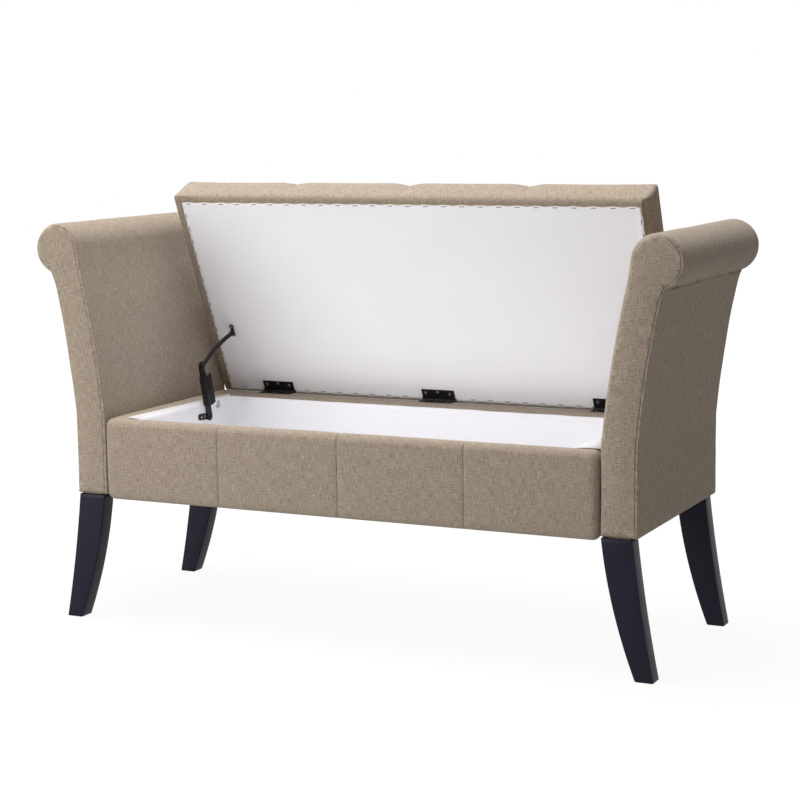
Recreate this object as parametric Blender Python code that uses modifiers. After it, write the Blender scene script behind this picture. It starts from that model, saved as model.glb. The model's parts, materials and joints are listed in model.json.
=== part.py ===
"""Upholstered storage bench with rolled arms, a padded lid on three butt hinges, a folding lid stay and
four sabre legs.

Metres, +Z up, the front faces -Y. The origin is on the floor, below the middle of the bench with its lid
open. The lid stands open, which is the rest position of every joint.
"""

import math

import bmesh
import bpy
from mathutils import Matrix, Vector

# Clearances
TOUCH = 0.0003
RUNNING = 0.0004
SCREW_CLEARANCE = 0.0003

# The whole bench. Depths are measured back from the face of the front rail.
SEAT_WIDTH = 1.000
RIM_HEIGHT = 0.394
FRAME_BOTTOM = 0.2464
ORIGIN_DEPTH = 0.2535

# Box under the lid
RAIL_PAD_THICKNESS = 0.0140
RAIL_PAD_TOP = 0.3955
RAIL_PAD_BOTTOM = 0.2384
RAIL_PAD_OVER_BOARD = 0.0130
RAIL_EDGE_RADIUS = 0.0130
RAIL_SEAM_SPACING = 0.2500
RAIL_SEAM_DEPTH = 0.0030
RAIL_CROWN = 0.0025
FRONT_BOARD_THICKNESS = 0.0180
BOX_DEPTH = 0.3530
SIDE_RAIL_WIDTH = 0.0545
BOTTOM_PANEL_THICKNESS = 0.0090
LINING_THICKNESS = 0.0015
LINING_BELOW_RIM = 0.0030
DUST_COVER_THICKNESS = 0.0008
DUST_COVER_MARGIN = 0.0040

# Arms. Above the seat the arm leans out along a curve, which ends in the roll.
ARM_THICKNESS = 0.0700
ARM_SETBACK = 0.0040
ARM_DEPTH = 0.4465
ARM_UPRIGHT_TOP = 0.4000
ARM_LEAN = 0.0884
ARM_CURL = 0.2600
ARM_FACE_TOP = 0.6850
ROLL_RADIUS = 0.0480
ROLL_CENTRE_OUT = 0.0995
ROLL_CENTRE_HEIGHT = 0.7170
ARM_PADDING = 0.0160
ARM_END_PADDING = 0.0065
ARM_EDGE_RADIUS = 0.0060
ARM_FRAME_TOP = 0.7050
ARM_CURVE_STEPS = 9
ROLL_STEPS = 24

# Sabre legs
LEG_TOP_WIDTH = 0.0570
LEG_FOOT_WIDTH = 0.0337
LEG_TOP_INSET = 0.0040
LEG_SPLAY = 0.0620
LEG_TOP_SLOPE = 0.1100
LEG_DEPTH = 0.0330
FRONT_LEG_OVERHANG = 0.0020
REAR_LEG_OVERHANG = 0.0001
LEG_EDGE_RADIUS = 0.0020
LEG_STEPS = 8

# Bolts
LEG_BOLT_RADIUS = 0.0040
LEG_BOLT_IN_LEG = 0.0400
LEG_BOLT_IN_FRAME = 0.0500
ARM_BOLT_DEPTH_POSITION = 0.3275
ARM_BOLT_BELOW_RIM = 0.0116
ARM_BOLT_RADIUS = 0.0032
ARM_BOLT_HEAD_RADIUS = 0.0082
ARM_BOLT_HEAD_THICKNESS = 0.0028
ARM_BOLT_IN_FRAME = 0.0220

# Lid, drawn closed in the frame of its hinge axis
LID_OPEN_ANGLE = math.radians(66)
HINGE_DEPTH = 0.4470
LID_WIDTH = 0.9900
LID_REACH = 0.4505
LID_OVERHANG = 0.0030
LID_THICKNESS = 0.0690
LID_SIDE_BORDER = 0.0125
LID_FRONT_BORDER = 0.0150
LID_BACK_BORDER = 0.0135
LID_BOARD_THICKNESS = 0.0150
UNDERCLOTH_THICKNESS = 0.0008
LID_EDGE_RADIUS = 0.0080
LID_SEAM_SPACING = 0.2465
LID_SEAM_DEPTH = 0.0070
LID_SEAM_HALF_WIDTH = 0.0100
LID_CROWN = 0.0040
LID_SIDE_DRAW = 0.0010

# Butt hinges
HINGE_SPACING = 0.3640
LEAF_LENGTH = 0.0700
LEAF_WIDTH = 0.0232
LEAF_THICKNESS = 0.0016
LEAF_FACE_GAP = 0.0003
KNUCKLE_RADIUS = 0.0029
KNUCKLE_COUNT = 5
PIN_RADIUS = 0.0014
PIN_HEAD_RADIUS = 0.0023
PIN_HEAD_LENGTH = 0.0010
LEAF_SCREW_SPACING = 0.0260
LEAF_OUTER_SCREW_REACH = 0.0150
LEAF_MIDDLE_SCREW_REACH = 0.0185

# Countersunk screws
SCREW_HEAD_RADIUS = 0.0034
SCREW_HEAD_DEPTH = 0.0013
SCREW_SHANK_RADIUS = 0.0018
SCREW_LENGTH = 0.0130
SCREW_SUNK = 0.0001

# Lid stay. Offsets are depth and height from the hinge axis, with the lid open.
STAY_FOOT_OFFSET = (-0.1570, -0.0340)
STAY_ELBOW_OFFSET = (-0.1850, 0.0720)
STAY_LID_REACH = 0.1420
STAY_LID_DROP = 0.0100
STAY_PLATE_THICKNESS = 0.0020
STAY_STRAP_THICKNESS = 0.0030
STAY_STRAP_HALF_WIDTH = 0.0085
STAY_FOOT_PLATE_HALF_HEIGHT = 0.0065
STAY_FOOT_PLATE_REACH = 0.0340
STAY_FOOT_PLATE_RISE = 0.0025
STAY_FOOT_SCREWS = (0.0140, 0.0270)
STAY_RIVET_RADIUS = 0.0025
STAY_RIVET_HEAD_RADIUS = 0.0045
STAY_RIVET_HEAD_THICKNESS = 0.0015
STAY_CHANNEL_START = 0.0270
STAY_CHANNEL_END = 0.0900
STAY_CHANNEL_HALF_WIDTH = 0.0125
STAY_CHANNEL_DEPTH = 0.0135
STAY_CHANNEL_WALL = 0.0015
STAY_CHANNEL_SET_IN = 0.0002
STAY_RIB_RADIUS = 0.0022
STAY_ARM_HALF_WIDTH = 0.0043
STAY_ARM_BOW = 0.0120
STAY_ARM_GAP = 0.0006
STAY_ARM_STEPS = 10
STAY_LID_PLATE_OFFSET = 0.0026
STAY_LID_PLATE_END_RADIUS = 0.0050
STAY_LID_PLATE_WAIST = math.radians(140)
STAY_LID_SCREW_OFFSET = 0.0088
STAY_EAR_HALF_WIDTH = 0.0045
STAY_EAR_THICKNESS = 0.0022

# Sizes that follow
FRONT_Y = -ORIGIN_DEPTH
SEAT_HALF = SEAT_WIDTH / 2
RAIL_HALF = SEAT_HALF - TOUCH
FRONT_BOARD_FACE = FRONT_Y + RAIL_PAD_THICKNESS
FRONT_BOARD_BACK = FRONT_BOARD_FACE + FRONT_BOARD_THICKNESS
FRONT_BOARD_TOP = RAIL_PAD_TOP - RAIL_PAD_OVER_BOARD
BACK_RAIL_FACE = FRONT_BOARD_BACK + BOX_DEPTH
SIDE_RAIL_FACE = SEAT_HALF - SIDE_RAIL_WIDTH
LINING_HALF = SIDE_RAIL_FACE - TOUCH
LINING_FACE = LINING_HALF - LINING_THICKNESS
PANEL_TOP = FRAME_BOTTOM + BOTTOM_PANEL_THICKNESS
ARM_FRONT = FRONT_Y + ARM_SETBACK
ARM_BACK = ARM_FRONT + ARM_DEPTH
FRONT_LEG_MIDDLE = ARM_FRONT - FRONT_LEG_OVERHANG + LEG_DEPTH / 2
REAR_LEG_MIDDLE = ARM_BACK + REAR_LEG_OVERHANG - LEG_DEPTH / 2
LEG_TOP = FRAME_BOTTOM - TOUCH
LEG_TOP_EDGE = SEAT_HALF + LEG_TOP_INSET
LEG_BOLT_X = LEG_TOP_EDGE + LEG_TOP_WIDTH / 2
HINGE_Y = FRONT_Y + HINGE_DEPTH
HINGE_Z = RIM_HEIGHT + TOUCH + LEAF_THICKNESS + LEAF_FACE_GAP
BACK_RAIL_BACK = HINGE_Y - KNUCKLE_RADIUS - RUNNING
LID_UNDERSIDE = LEAF_FACE_GAP + LEAF_THICKNESS + TOUCH
LID_BOARD_UNDERSIDE = LID_UNDERSIDE + UNDERCLOTH_THICKNESS + TOUCH
LID_HALF = LID_WIDTH / 2
LID_PANEL_HALF = LID_HALF - LID_SIDE_BORDER
LID_PANEL_FRONT = -(LID_REACH - LID_FRONT_BORDER)
LID_PANEL_BACK = LID_OVERHANG - LID_BACK_BORDER
STAY_WALL = -LINING_FACE + TOUCH
STAY_STRAP_FACE = STAY_WALL + STAY_PLATE_THICKNESS + RUNNING
STAY_ARM_FACE = STAY_STRAP_FACE + STAY_STRAP_THICKNESS + STAY_ARM_GAP
SCREW_SIDES = 12
ROUND_SIDES = 20


def make_collection(name):
    """A new collection in the scene."""
    collection = bpy.data.collections.new(name)
    bpy.context.scene.collection.children.link(collection)
    return collection


def make_material(name, color, roughness, metallic=0.0):
    """A plain Principled material."""
    material = bpy.data.materials.new(name)
    material.use_nodes = True
    shader = material.node_tree.nodes["Principled BSDF"]
    shader.inputs["Base Color"].default_value = (*color, 1.0)
    shader.inputs["Roughness"].default_value = roughness
    shader.inputs["Metallic"].default_value = metallic
    material.diffuse_color = (*color, 1.0)
    return material


def add_object(name, mesh, material=None, location=(0, 0, 0), parent=None):
    """Put a mesh in the bench, or among the cutters where it has no material."""
    obj = bpy.data.objects.new(name, mesh)
    if material:
        mesh.materials.clear()
        mesh.materials.append(material)
        bench.objects.link(obj)
    else:
        cutters.objects.link(obj)
        obj.hide_render = True
        obj.display_type = "WIRE"
    obj.location = location
    obj.parent = parent
    return obj


def finish(name, bm, **placing):
    """Turn a bmesh into an object."""
    mesh = bpy.data.meshes.new(name)
    bmesh.ops.recalc_face_normals(bm, faces=bm.faces)
    bm.to_mesh(mesh)
    bm.free()
    return add_object(name, mesh, **placing)


def box(name, low, high, edge=0.0, **placing):
    """A block between two corners, with its edges rounded if asked."""
    bm = bmesh.new()
    bmesh.ops.create_cube(bm, size=1.0)
    low, high = Vector(low), Vector(high)
    size = high - low
    bmesh.ops.scale(bm, vec=size, verts=bm.verts)
    bmesh.ops.translate(bm, vec=(low + high) / 2, verts=bm.verts)
    if edge:
        bmesh.ops.bevel(bm, geom=bm.edges[:], offset=edge, segments=2, profile=0.5, affect="EDGES")
    return finish(name, bm, **placing)


def rod(name, start, end, radius, end_radius=None, sides=ROUND_SIDES, **placing):
    """A round rod, or a cone, from one point to another."""
    start, end = Vector(start), Vector(end)
    along = end - start
    bm = bmesh.new()
    bmesh.ops.create_cone(bm, cap_ends=True, segments=sides, radius1=radius,
                          radius2=radius if end_radius is None else end_radius, depth=along.length)
    turn = along.to_track_quat("Z", "Y").to_matrix().to_4x4()
    bmesh.ops.transform(bm, matrix=Matrix.Translation((start + end) / 2) @ turn, verts=bm.verts)
    return finish(name, bm, **placing)


def flat_piece(name, outline, along, middle, thickness, **placing):
    """A flat outline of (x, z), (y, z) or (x, y) points, with a thickness along Y, X or Z."""
    curve = bpy.data.curves.new(name, "CURVE")
    curve.dimensions = "2D"
    curve.fill_mode = "BOTH"
    curve.extrude = thickness / 2
    spline = curve.splines.new("POLY")
    spline.points.add(len(outline) - 1)
    for point, (across, up) in zip(spline.points, outline):
        point.co = (across, up, 0, 1)
    spline.use_cyclic_u = True
    drawn = bpy.data.objects.new(name, curve)
    cutters.objects.link(drawn)
    bpy.context.view_layer.update()
    mesh = bpy.data.meshes.new_from_object(drawn.evaluated_get(bpy.context.evaluated_depsgraph_get()))
    bpy.data.objects.remove(drawn)
    bpy.data.curves.remove(curve)
    upright = Matrix.Rotation(math.pi / 2, 4, "X")
    if along == "Z":
        turn = Matrix.Translation((0, 0, middle))
    elif along == "Y":
        turn = Matrix.Translation((0, middle, 0)) @ upright
    else:
        turn = Matrix.Translation((middle, 0, 0)) @ Matrix.Rotation(math.pi / 2, 4, "Z") @ upright
    bm = bmesh.new()
    bm.from_mesh(mesh)
    bpy.data.meshes.remove(mesh)
    bmesh.ops.remove_doubles(bm, verts=bm.verts, dist=0.00001)
    bmesh.ops.dissolve_faces(bm, faces=[face for face in bm.faces if face.normal.z > 0.99])
    bmesh.ops.dissolve_faces(bm, faces=[face for face in bm.faces if face.normal.z < -0.99])
    bmesh.ops.transform(bm, matrix=turn, verts=bm.verts)
    return finish(name, bm, **placing)


def combine(target, others, operation):
    """Cut other solids out of an object, or join them to it."""
    for other in others:
        modifier = target.modifiers.new(f"{operation.lower()} {other.name}", "BOOLEAN")
        modifier.operation = operation
        modifier.solver = "EXACT"
        modifier.object = other
    return target


def cut(target, *others):
    return combine(target, others, "DIFFERENCE")


def fuse(target, *others):
    return combine(target, others, "UNION")


def round_edges(obj, radius, segments=2, angle=35):
    """Round an object's sharp edges."""
    modifier = obj.modifiers.new("rounded edges", "BEVEL")
    modifier.width = radius
    modifier.segments = segments
    modifier.limit_method = "ANGLE"
    modifier.angle_limit = math.radians(angle)
    return obj


def shade_round(obj, angle=30):
    """Smooth shading, with creases past an angle."""
    obj.data.shade_smooth()
    obj.data.set_sharp_from_angle(angle=math.radians(angle))
    return obj


def padded_block(name, low, high, round_edge, edge_radius, cuts_x, cuts_y, cuts_z, shape, **placing):
    """A padded block: a cube with chosen edges rounded, sliced into a grid and pushed into shape."""
    low, high = Vector(low), Vector(high)
    bm = bmesh.new()
    bmesh.ops.create_cube(bm, size=1.0)
    bmesh.ops.scale(bm, vec=high - low, verts=bm.verts)
    bmesh.ops.translate(bm, vec=(low + high) / 2, verts=bm.verts)
    edges = [edge for edge in bm.edges if round_edge((edge.verts[0].co + edge.verts[1].co) / 2)]
    bmesh.ops.bevel(bm, geom=edges, offset=edge_radius, segments=3, profile=0.5, affect="EDGES")
    for axis, places in enumerate((cuts_x, cuts_y, cuts_z)):
        normal = Vector((axis == 0, axis == 1, axis == 2))
        for place in places:
            geometry = bm.verts[:] + bm.edges[:] + bm.faces[:]
            bmesh.ops.bisect_plane(bm, geom=geometry, dist=0.00001, plane_co=normal * place, plane_no=normal)
    for vert in bm.verts:
        vert.co = shape(vert.co.copy())
    return shade_round(finish(name, bm, **placing), 60)


def seam_cuts(spacing, half_width, half_length):
    """Where to slice a pad along its length, so that it can dip at each seam."""
    places = []
    for seam in (-spacing, 0.0, spacing):
        places += [seam + share * half_width for share in (-1.0, -0.5, 0.0, 0.5, 1.0)]
    for panel in (-1.5, -0.5, 0.5, 1.5):
        places += [(panel + share) * spacing for share in (-0.3, 0.0, 0.3)]
    return [place for place in places if abs(place) < half_length - half_width]


def seam_dip(x, spacing, half_width):
    """1 on a seam and 0 away from it."""
    nearest = min(abs(x - seam) for seam in (-spacing, 0.0, spacing))
    return math.exp(-((2 * nearest / half_width) ** 2))


def swell(x, spacing):
    """0 at a pad's seams and 1 in the middle of each of its panels."""
    share = (x / spacing) % 1.0
    return 1 - (2 * share - 1) ** 2


def build_front_rail():
    """The front rail: a board with a padded cover over its face, top and foot."""
    box("front_rail_board", (-RAIL_HALF, FRONT_BOARD_FACE, FRAME_BOTTOM),
        (RAIL_HALF, FRONT_BOARD_BACK, FRONT_BOARD_TOP), material=plywood)

    middle_height = (RAIL_PAD_TOP + RAIL_PAD_BOTTOM) / 2
    half_height = (RAIL_PAD_TOP - RAIL_PAD_BOTTOM) / 2

    def shape(co):
        front = max(0.0, (FRONT_BOARD_FACE - co.y) / RAIL_PAD_THICKNESS)
        bulge = 1 - ((co.z - middle_height) / half_height) ** 2
        dip = seam_dip(co.x, RAIL_SEAM_SPACING, LID_SEAM_HALF_WIDTH)
        co.y += front * (RAIL_CROWN * (1 - bulge * swell(co.x, RAIL_SEAM_SPACING)) + RAIL_SEAM_DEPTH * dip)
        if co.z > middle_height:
            co.z -= RAIL_SEAM_DEPTH * dip * (co.z - middle_height) / half_height
        return co

    pad = padded_block(
        "front_rail_pad", (-RAIL_HALF, FRONT_Y, RAIL_PAD_BOTTOM),
        (RAIL_HALF, FRONT_BOARD_BACK, RAIL_PAD_TOP),
        lambda middle: middle.y < FRONT_Y + TOUCH and abs(middle.x) < TOUCH,
        RAIL_EDGE_RADIUS, seam_cuts(RAIL_SEAM_SPACING, LID_SEAM_HALF_WIDTH, RAIL_HALF), [],
        [middle_height + share * half_height for share in (-0.5, 0.0, 0.5)], shape, material=linen)
    pocket = box("front_rail_pocket", (-SEAT_HALF, FRONT_BOARD_FACE - TOUCH, FRAME_BOTTOM - TOUCH),
                 (SEAT_HALF, FRONT_BOARD_BACK + BOX_DEPTH, FRONT_BOARD_TOP + TOUCH))
    cut(pad, pocket)


def build_box():
    """Back and side rails, the bottom panel, the white lining and the dust cover below."""
    back_rail = box("back_rail", (-RAIL_HALF, BACK_RAIL_FACE, FRAME_BOTTOM),
                    (RAIL_HALF, BACK_RAIL_BACK, RIM_HEIGHT), material=linen)
    side_rails = {}
    for side, sign in SIDES:
        near, far = sorted((sign * SIDE_RAIL_FACE, sign * RAIL_HALF))
        side_rails[side] = box(f"{side}_side_rail", (near, FRONT_BOARD_BACK + TOUCH, FRAME_BOTTOM),
                               (far, BACK_RAIL_FACE - TOUCH, RIM_HEIGHT), material=linen)
    box("bottom_panel", (-LINING_HALF, FRONT_BOARD_BACK + TOUCH, FRAME_BOTTOM),
        (LINING_HALF, BACK_RAIL_FACE - TOUCH, PANEL_TOP), material=plywood)

    lining = box("box_lining", (-LINING_HALF, FRONT_BOARD_BACK + TOUCH, PANEL_TOP + TOUCH),
                 (LINING_HALF, BACK_RAIL_FACE - TOUCH, RIM_HEIGHT - LINING_BELOW_RIM), material=white_cloth)
    lining_front = FRONT_BOARD_BACK + TOUCH + LINING_THICKNESS
    lining_back = BACK_RAIL_FACE - TOUCH - LINING_THICKNESS
    inside = box("lining_inside", (-LINING_FACE, lining_front, PANEL_TOP + TOUCH + LINING_THICKNESS),
                 (LINING_FACE, lining_back, RIM_HEIGHT + BOX_DEPTH))
    cut(lining, inside)
    box("dust_cover", (-RAIL_HALF + DUST_COVER_MARGIN, FRONT_BOARD_BACK + TOUCH,
                       FRAME_BOTTOM - TOUCH - DUST_COVER_THICKNESS),
        (RAIL_HALF - DUST_COVER_MARGIN, BACK_RAIL_BACK - DUST_COVER_MARGIN, FRAME_BOTTOM - TOUCH),
        material=black_cloth)
    return back_rail, side_rails, lining


def arm_lean(height):
    """How far the arm's faces have leant out at a height."""
    above = max(0.0, height - ARM_UPRIGHT_TOP)
    return ARM_LEAN * above + ARM_CURL * above ** 2


def arm_outline():
    """The right arm seen from the front: up the inner face, round the roll and down the outer face."""
    centre_x, centre_z = SEAT_HALF + ROLL_CENTRE_OUT, ROLL_CENTRE_HEIGHT

    def on_roll(angle):
        return centre_x + ROLL_RADIUS * math.cos(angle), centre_z + ROLL_RADIUS * math.sin(angle)

    def outside(angle):
        x, z = on_roll(angle)
        return x > SEAT_HALF + ARM_THICKNESS + arm_lean(z)

    crook, limit = math.radians(-89), 0.0
    for _ in range(40):
        middle = (crook + limit) / 2
        crook, limit = (crook, middle) if outside(middle) else (middle, limit)
    crook_height = on_roll(crook)[1]

    reach = Vector((centre_x - SEAT_HALF - arm_lean(ARM_FACE_TOP), centre_z - ARM_FACE_TOP))
    start = math.atan2(reach.y, reach.x) + math.asin(ROLL_RADIUS / reach.length) + math.pi / 2

    points = [(SEAT_HALF, FRAME_BOTTOM)]
    for step in range(ARM_CURVE_STEPS + 1):
        height = ARM_UPRIGHT_TOP + (ARM_FACE_TOP - ARM_UPRIGHT_TOP) * step / ARM_CURVE_STEPS
        points.append((SEAT_HALF + arm_lean(height), height))
    points += [on_roll(start + (crook - start) * step / ROLL_STEPS) for step in range(ROLL_STEPS + 1)]
    for step in range(1, ARM_CURVE_STEPS + 1):
        height = crook_height + (ARM_UPRIGHT_TOP - crook_height) * step / ARM_CURVE_STEPS
        points.append((SEAT_HALF + ARM_THICKNESS + arm_lean(height), height))
    points.append((SEAT_HALF + ARM_THICKNESS, FRAME_BOTTOM))
    return points


def arm_core_outline(margin, bottom):
    """The wooden frame inside the arm, or the pocket for it."""
    inner, outer = [], []
    top = ARM_FRAME_TOP + margin
    inner.append((SEAT_HALF + ARM_PADDING - margin, bottom))
    outer.append((SEAT_HALF + ARM_THICKNESS - ARM_PADDING + margin, bottom))
    for step in range(ARM_CURVE_STEPS + 1):
        height = ARM_UPRIGHT_TOP + (top - ARM_UPRIGHT_TOP) * step / ARM_CURVE_STEPS
        lean = arm_lean(height)
        inner.append((SEAT_HALF + ARM_PADDING - margin + lean, height))
        outer.append((SEAT_HALF + ARM_THICKNESS - ARM_PADDING + margin + lean, height))
    return inner + outer[::-1]


def mirrored(outline, sign):
    return [(sign * x, z) for x, z in outline]


def build_arm(side, sign):
    """One arm: a curved wooden frame in a padded cover that ends in an outward roll."""
    middle = (ARM_FRONT + ARM_BACK) / 2
    cover = flat_piece(f"{side}_arm_cover", mirrored(arm_outline(), sign), "Y", middle, ARM_DEPTH,
                       material=linen)
    round_edges(shade_round(cover), ARM_EDGE_RADIUS)
    frame_depth = ARM_DEPTH - 2 * ARM_END_PADDING
    frame_outline = mirrored(arm_core_outline(0.0, FRAME_BOTTOM), sign)
    frame = flat_piece(f"{side}_arm_frame", frame_outline, "Y", middle, frame_depth, material=plywood)
    pocket_outline = mirrored(arm_core_outline(TOUCH, FRAME_BOTTOM - ARM_THICKNESS), sign)
    pocket = flat_piece(f"{side}_arm_pocket", pocket_outline, "Y", middle, frame_depth + 2 * TOUCH)
    cut(cover, pocket)
    return cover, frame


def leg_outline():
    """A right leg seen from the front: both edges curve out towards the foot."""

    def edge(start, run, height):
        fall = (LEG_TOP - height) / LEG_TOP
        first = LEG_TOP_SLOPE * LEG_TOP
        return start + first * fall + (run - first) * fall ** 2

    outer_run = LEG_SPLAY + LEG_FOOT_WIDTH - LEG_TOP_WIDTH
    heights = [LEG_TOP * (1 - step / LEG_STEPS) for step in range(LEG_STEPS + 1)]
    inner = [(edge(LEG_TOP_EDGE, LEG_SPLAY, height), height) for height in heights]
    outer = [(edge(LEG_TOP_EDGE + LEG_TOP_WIDTH, outer_run, height), height) for height in heights]
    return inner + outer[::-1]


def build_leg(row, middle, side, sign, frame):
    """One sabre leg and the bolt that holds it to its arm's frame."""
    leg = flat_piece(f"{row}_{side}_leg", mirrored(leg_outline(), sign), "Y", middle, LEG_DEPTH,
                     material=black_wood)
    round_edges(shade_round(leg), LEG_EDGE_RADIUS, angle=40)
    x = sign * LEG_BOLT_X
    low, high = LEG_TOP - LEG_BOLT_IN_LEG, FRAME_BOTTOM + LEG_BOLT_IN_FRAME
    rod(f"{row}_{side}_leg_bolt", (x, middle, low), (x, middle, high), LEG_BOLT_RADIUS,
        sides=SCREW_SIDES, material=zinc)
    hole = rod(f"{row}_{side}_leg_bolt_hole", (x, middle, low - TOUCH), (x, middle, high + TOUCH),
               LEG_BOLT_RADIUS + SCREW_CLEARANCE, sides=SCREW_SIDES)
    cut(leg, hole)
    cut(frame, hole)


def build_arm_bolt(side, sign, lining, side_rail, cover, frame):
    """The bolt from inside the box that holds an arm to the side rail."""
    y, z = FRONT_Y + ARM_BOLT_DEPTH_POSITION, RIM_HEIGHT - ARM_BOLT_BELOW_RIM
    seat = LINING_FACE - TOUCH
    end = SEAT_HALF + ARM_PADDING + ARM_BOLT_IN_FRAME
    inside_head = seat - ARM_BOLT_HEAD_THICKNESS / 2
    bolt = rod(f"{side}_arm_bolt", (sign * inside_head, y, z), (sign * end, y, z), ARM_BOLT_RADIUS,
               sides=SCREW_SIDES, material=zinc)
    top = seat - ARM_BOLT_HEAD_THICKNESS
    head = rod(f"{side}_arm_bolt_head", (sign * top, y, z), (sign * seat, y, z),
               ARM_BOLT_HEAD_RADIUS * 0.7, ARM_BOLT_HEAD_RADIUS)
    fuse(bolt, head)
    hole = rod(f"{side}_arm_bolt_hole", (sign * (seat - TOUCH), y, z), (sign * (end + TOUCH), y, z),
               ARM_BOLT_RADIUS + SCREW_CLEARANCE, sides=SCREW_SIDES)
    for piece in (lining, side_rail, cover, frame):
        cut(piece, hole)


def build_screw(name, head, direction, plate, wood, parent=None):
    """A countersunk screw, with its hole in the plate and in the pieces behind it."""
    head, direction = Vector(head), Vector(direction)
    neck = head + direction * SCREW_HEAD_DEPTH
    tip = head + direction * SCREW_LENGTH
    placing = {"parent": parent, "sides": SCREW_SIDES}
    screw = rod(name, head, neck, SCREW_HEAD_RADIUS, SCREW_SHANK_RADIUS, material=black_steel, **placing)
    shank = rod(f"{name}_shank", neck - direction * SCREW_SUNK, tip, SCREW_SHANK_RADIUS,
                SCREW_SHANK_RADIUS * 0.5, **placing)
    fuse(screw, shank)
    bore = SCREW_SHANK_RADIUS + SCREW_CLEARANCE
    sink = rod(f"{name}_sink", head - direction * SCREW_SUNK * 2, neck + direction * SCREW_SUNK * 2,
               SCREW_HEAD_RADIUS + 2 * SCREW_CLEARANCE, bore, **placing)
    hole = rod(f"{name}_hole", head, tip + direction * SCREW_CLEARANCE, bore, **placing)
    cut(plate, sink, hole)
    for piece in wood:
        cut(piece, hole)


def build_leaf(name, upper, centre, parent):
    """One leaf of a butt hinge with its knuckles; the upper leaf has the knuckles between the lower's."""
    sign = 1 if upper else -1
    low, high = sorted((sign * LEAF_FACE_GAP, sign * (LEAF_FACE_GAP + LEAF_THICKNESS)))
    root = -(KNUCKLE_RADIUS + RUNNING)
    half = LEAF_LENGTH / 2
    leaf = box(name, (-half, -LEAF_WIDTH, low), (half, root, high), material=black_steel, location=centre,
               parent=parent)
    pitch = (LEAF_LENGTH + RUNNING) / KNUCKLE_COUNT
    for index in range(1 if upper else 0, KNUCKLE_COUNT, 2):
        start = -half + pitch * index
        end = start + pitch - RUNNING
        tab = box(f"{name}_tab_{index}", (start, root - RUNNING, low), (end, 0, high), location=centre,
                  parent=parent)
        knuckle = rod(f"{name}_knuckle_{index}", (start, 0, 0), (end, 0, 0), KNUCKLE_RADIUS,
                      location=centre, parent=parent)
        fuse(leaf, tab, knuckle)
    bore = rod(f"{name}_bore", (-LEAF_LENGTH, 0, 0), (LEAF_LENGTH, 0, 0), PIN_RADIUS + RUNNING,
               sides=SCREW_SIDES, location=centre, parent=parent)
    return cut(leaf, bore)


def build_hinge(side, x, back_rail, lid_board, undercloth):
    """A butt hinge: the lower leaf on the back rail, the upper leaf under the lid, the pin and the screws."""
    on_rim = Vector((x, HINGE_Y, HINGE_Z))
    on_lid = Vector((x, 0, 0))
    lower = build_leaf(f"{side}_hinge_rail_leaf", False, on_rim, None)
    upper = build_leaf(f"{side}_hinge_lid_leaf", True, on_lid, lid_axis)
    half = LEAF_LENGTH / 2
    pin_half = half + RUNNING + PIN_HEAD_LENGTH / 2
    pin = rod(f"{side}_hinge_pin", (-pin_half, 0, 0), (pin_half, 0, 0), PIN_RADIUS, sides=SCREW_SIDES,
              material=black_steel, location=on_rim)
    for end, sign in (("left", -1), ("right", 1)):
        inner = sign * (half + RUNNING)
        outer = inner + sign * PIN_HEAD_LENGTH
        fuse(pin, rod(f"{side}_hinge_pin_{end}_head", (inner, 0, 0), (outer, 0, 0), PIN_HEAD_RADIUS,
                      sides=SCREW_SIDES, location=on_rim))
    places = ((-LEAF_SCREW_SPACING, LEAF_OUTER_SCREW_REACH), (0, LEAF_MIDDLE_SCREW_REACH),
              (LEAF_SCREW_SPACING, LEAF_OUTER_SCREW_REACH))
    for number, (across, reach) in enumerate(places, start=1):
        face = LEAF_FACE_GAP + SCREW_SUNK
        build_screw(f"{side}_hinge_rail_screw_{number}", on_rim + Vector((across, -reach, -face)),
                    (0, 0, -1), lower, [back_rail])
        build_screw(f"{side}_hinge_lid_screw_{number}", on_lid + Vector((across, -reach, face)),
                    (0, 0, 1), upper, [lid_board, undercloth], parent=lid_axis)


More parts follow.
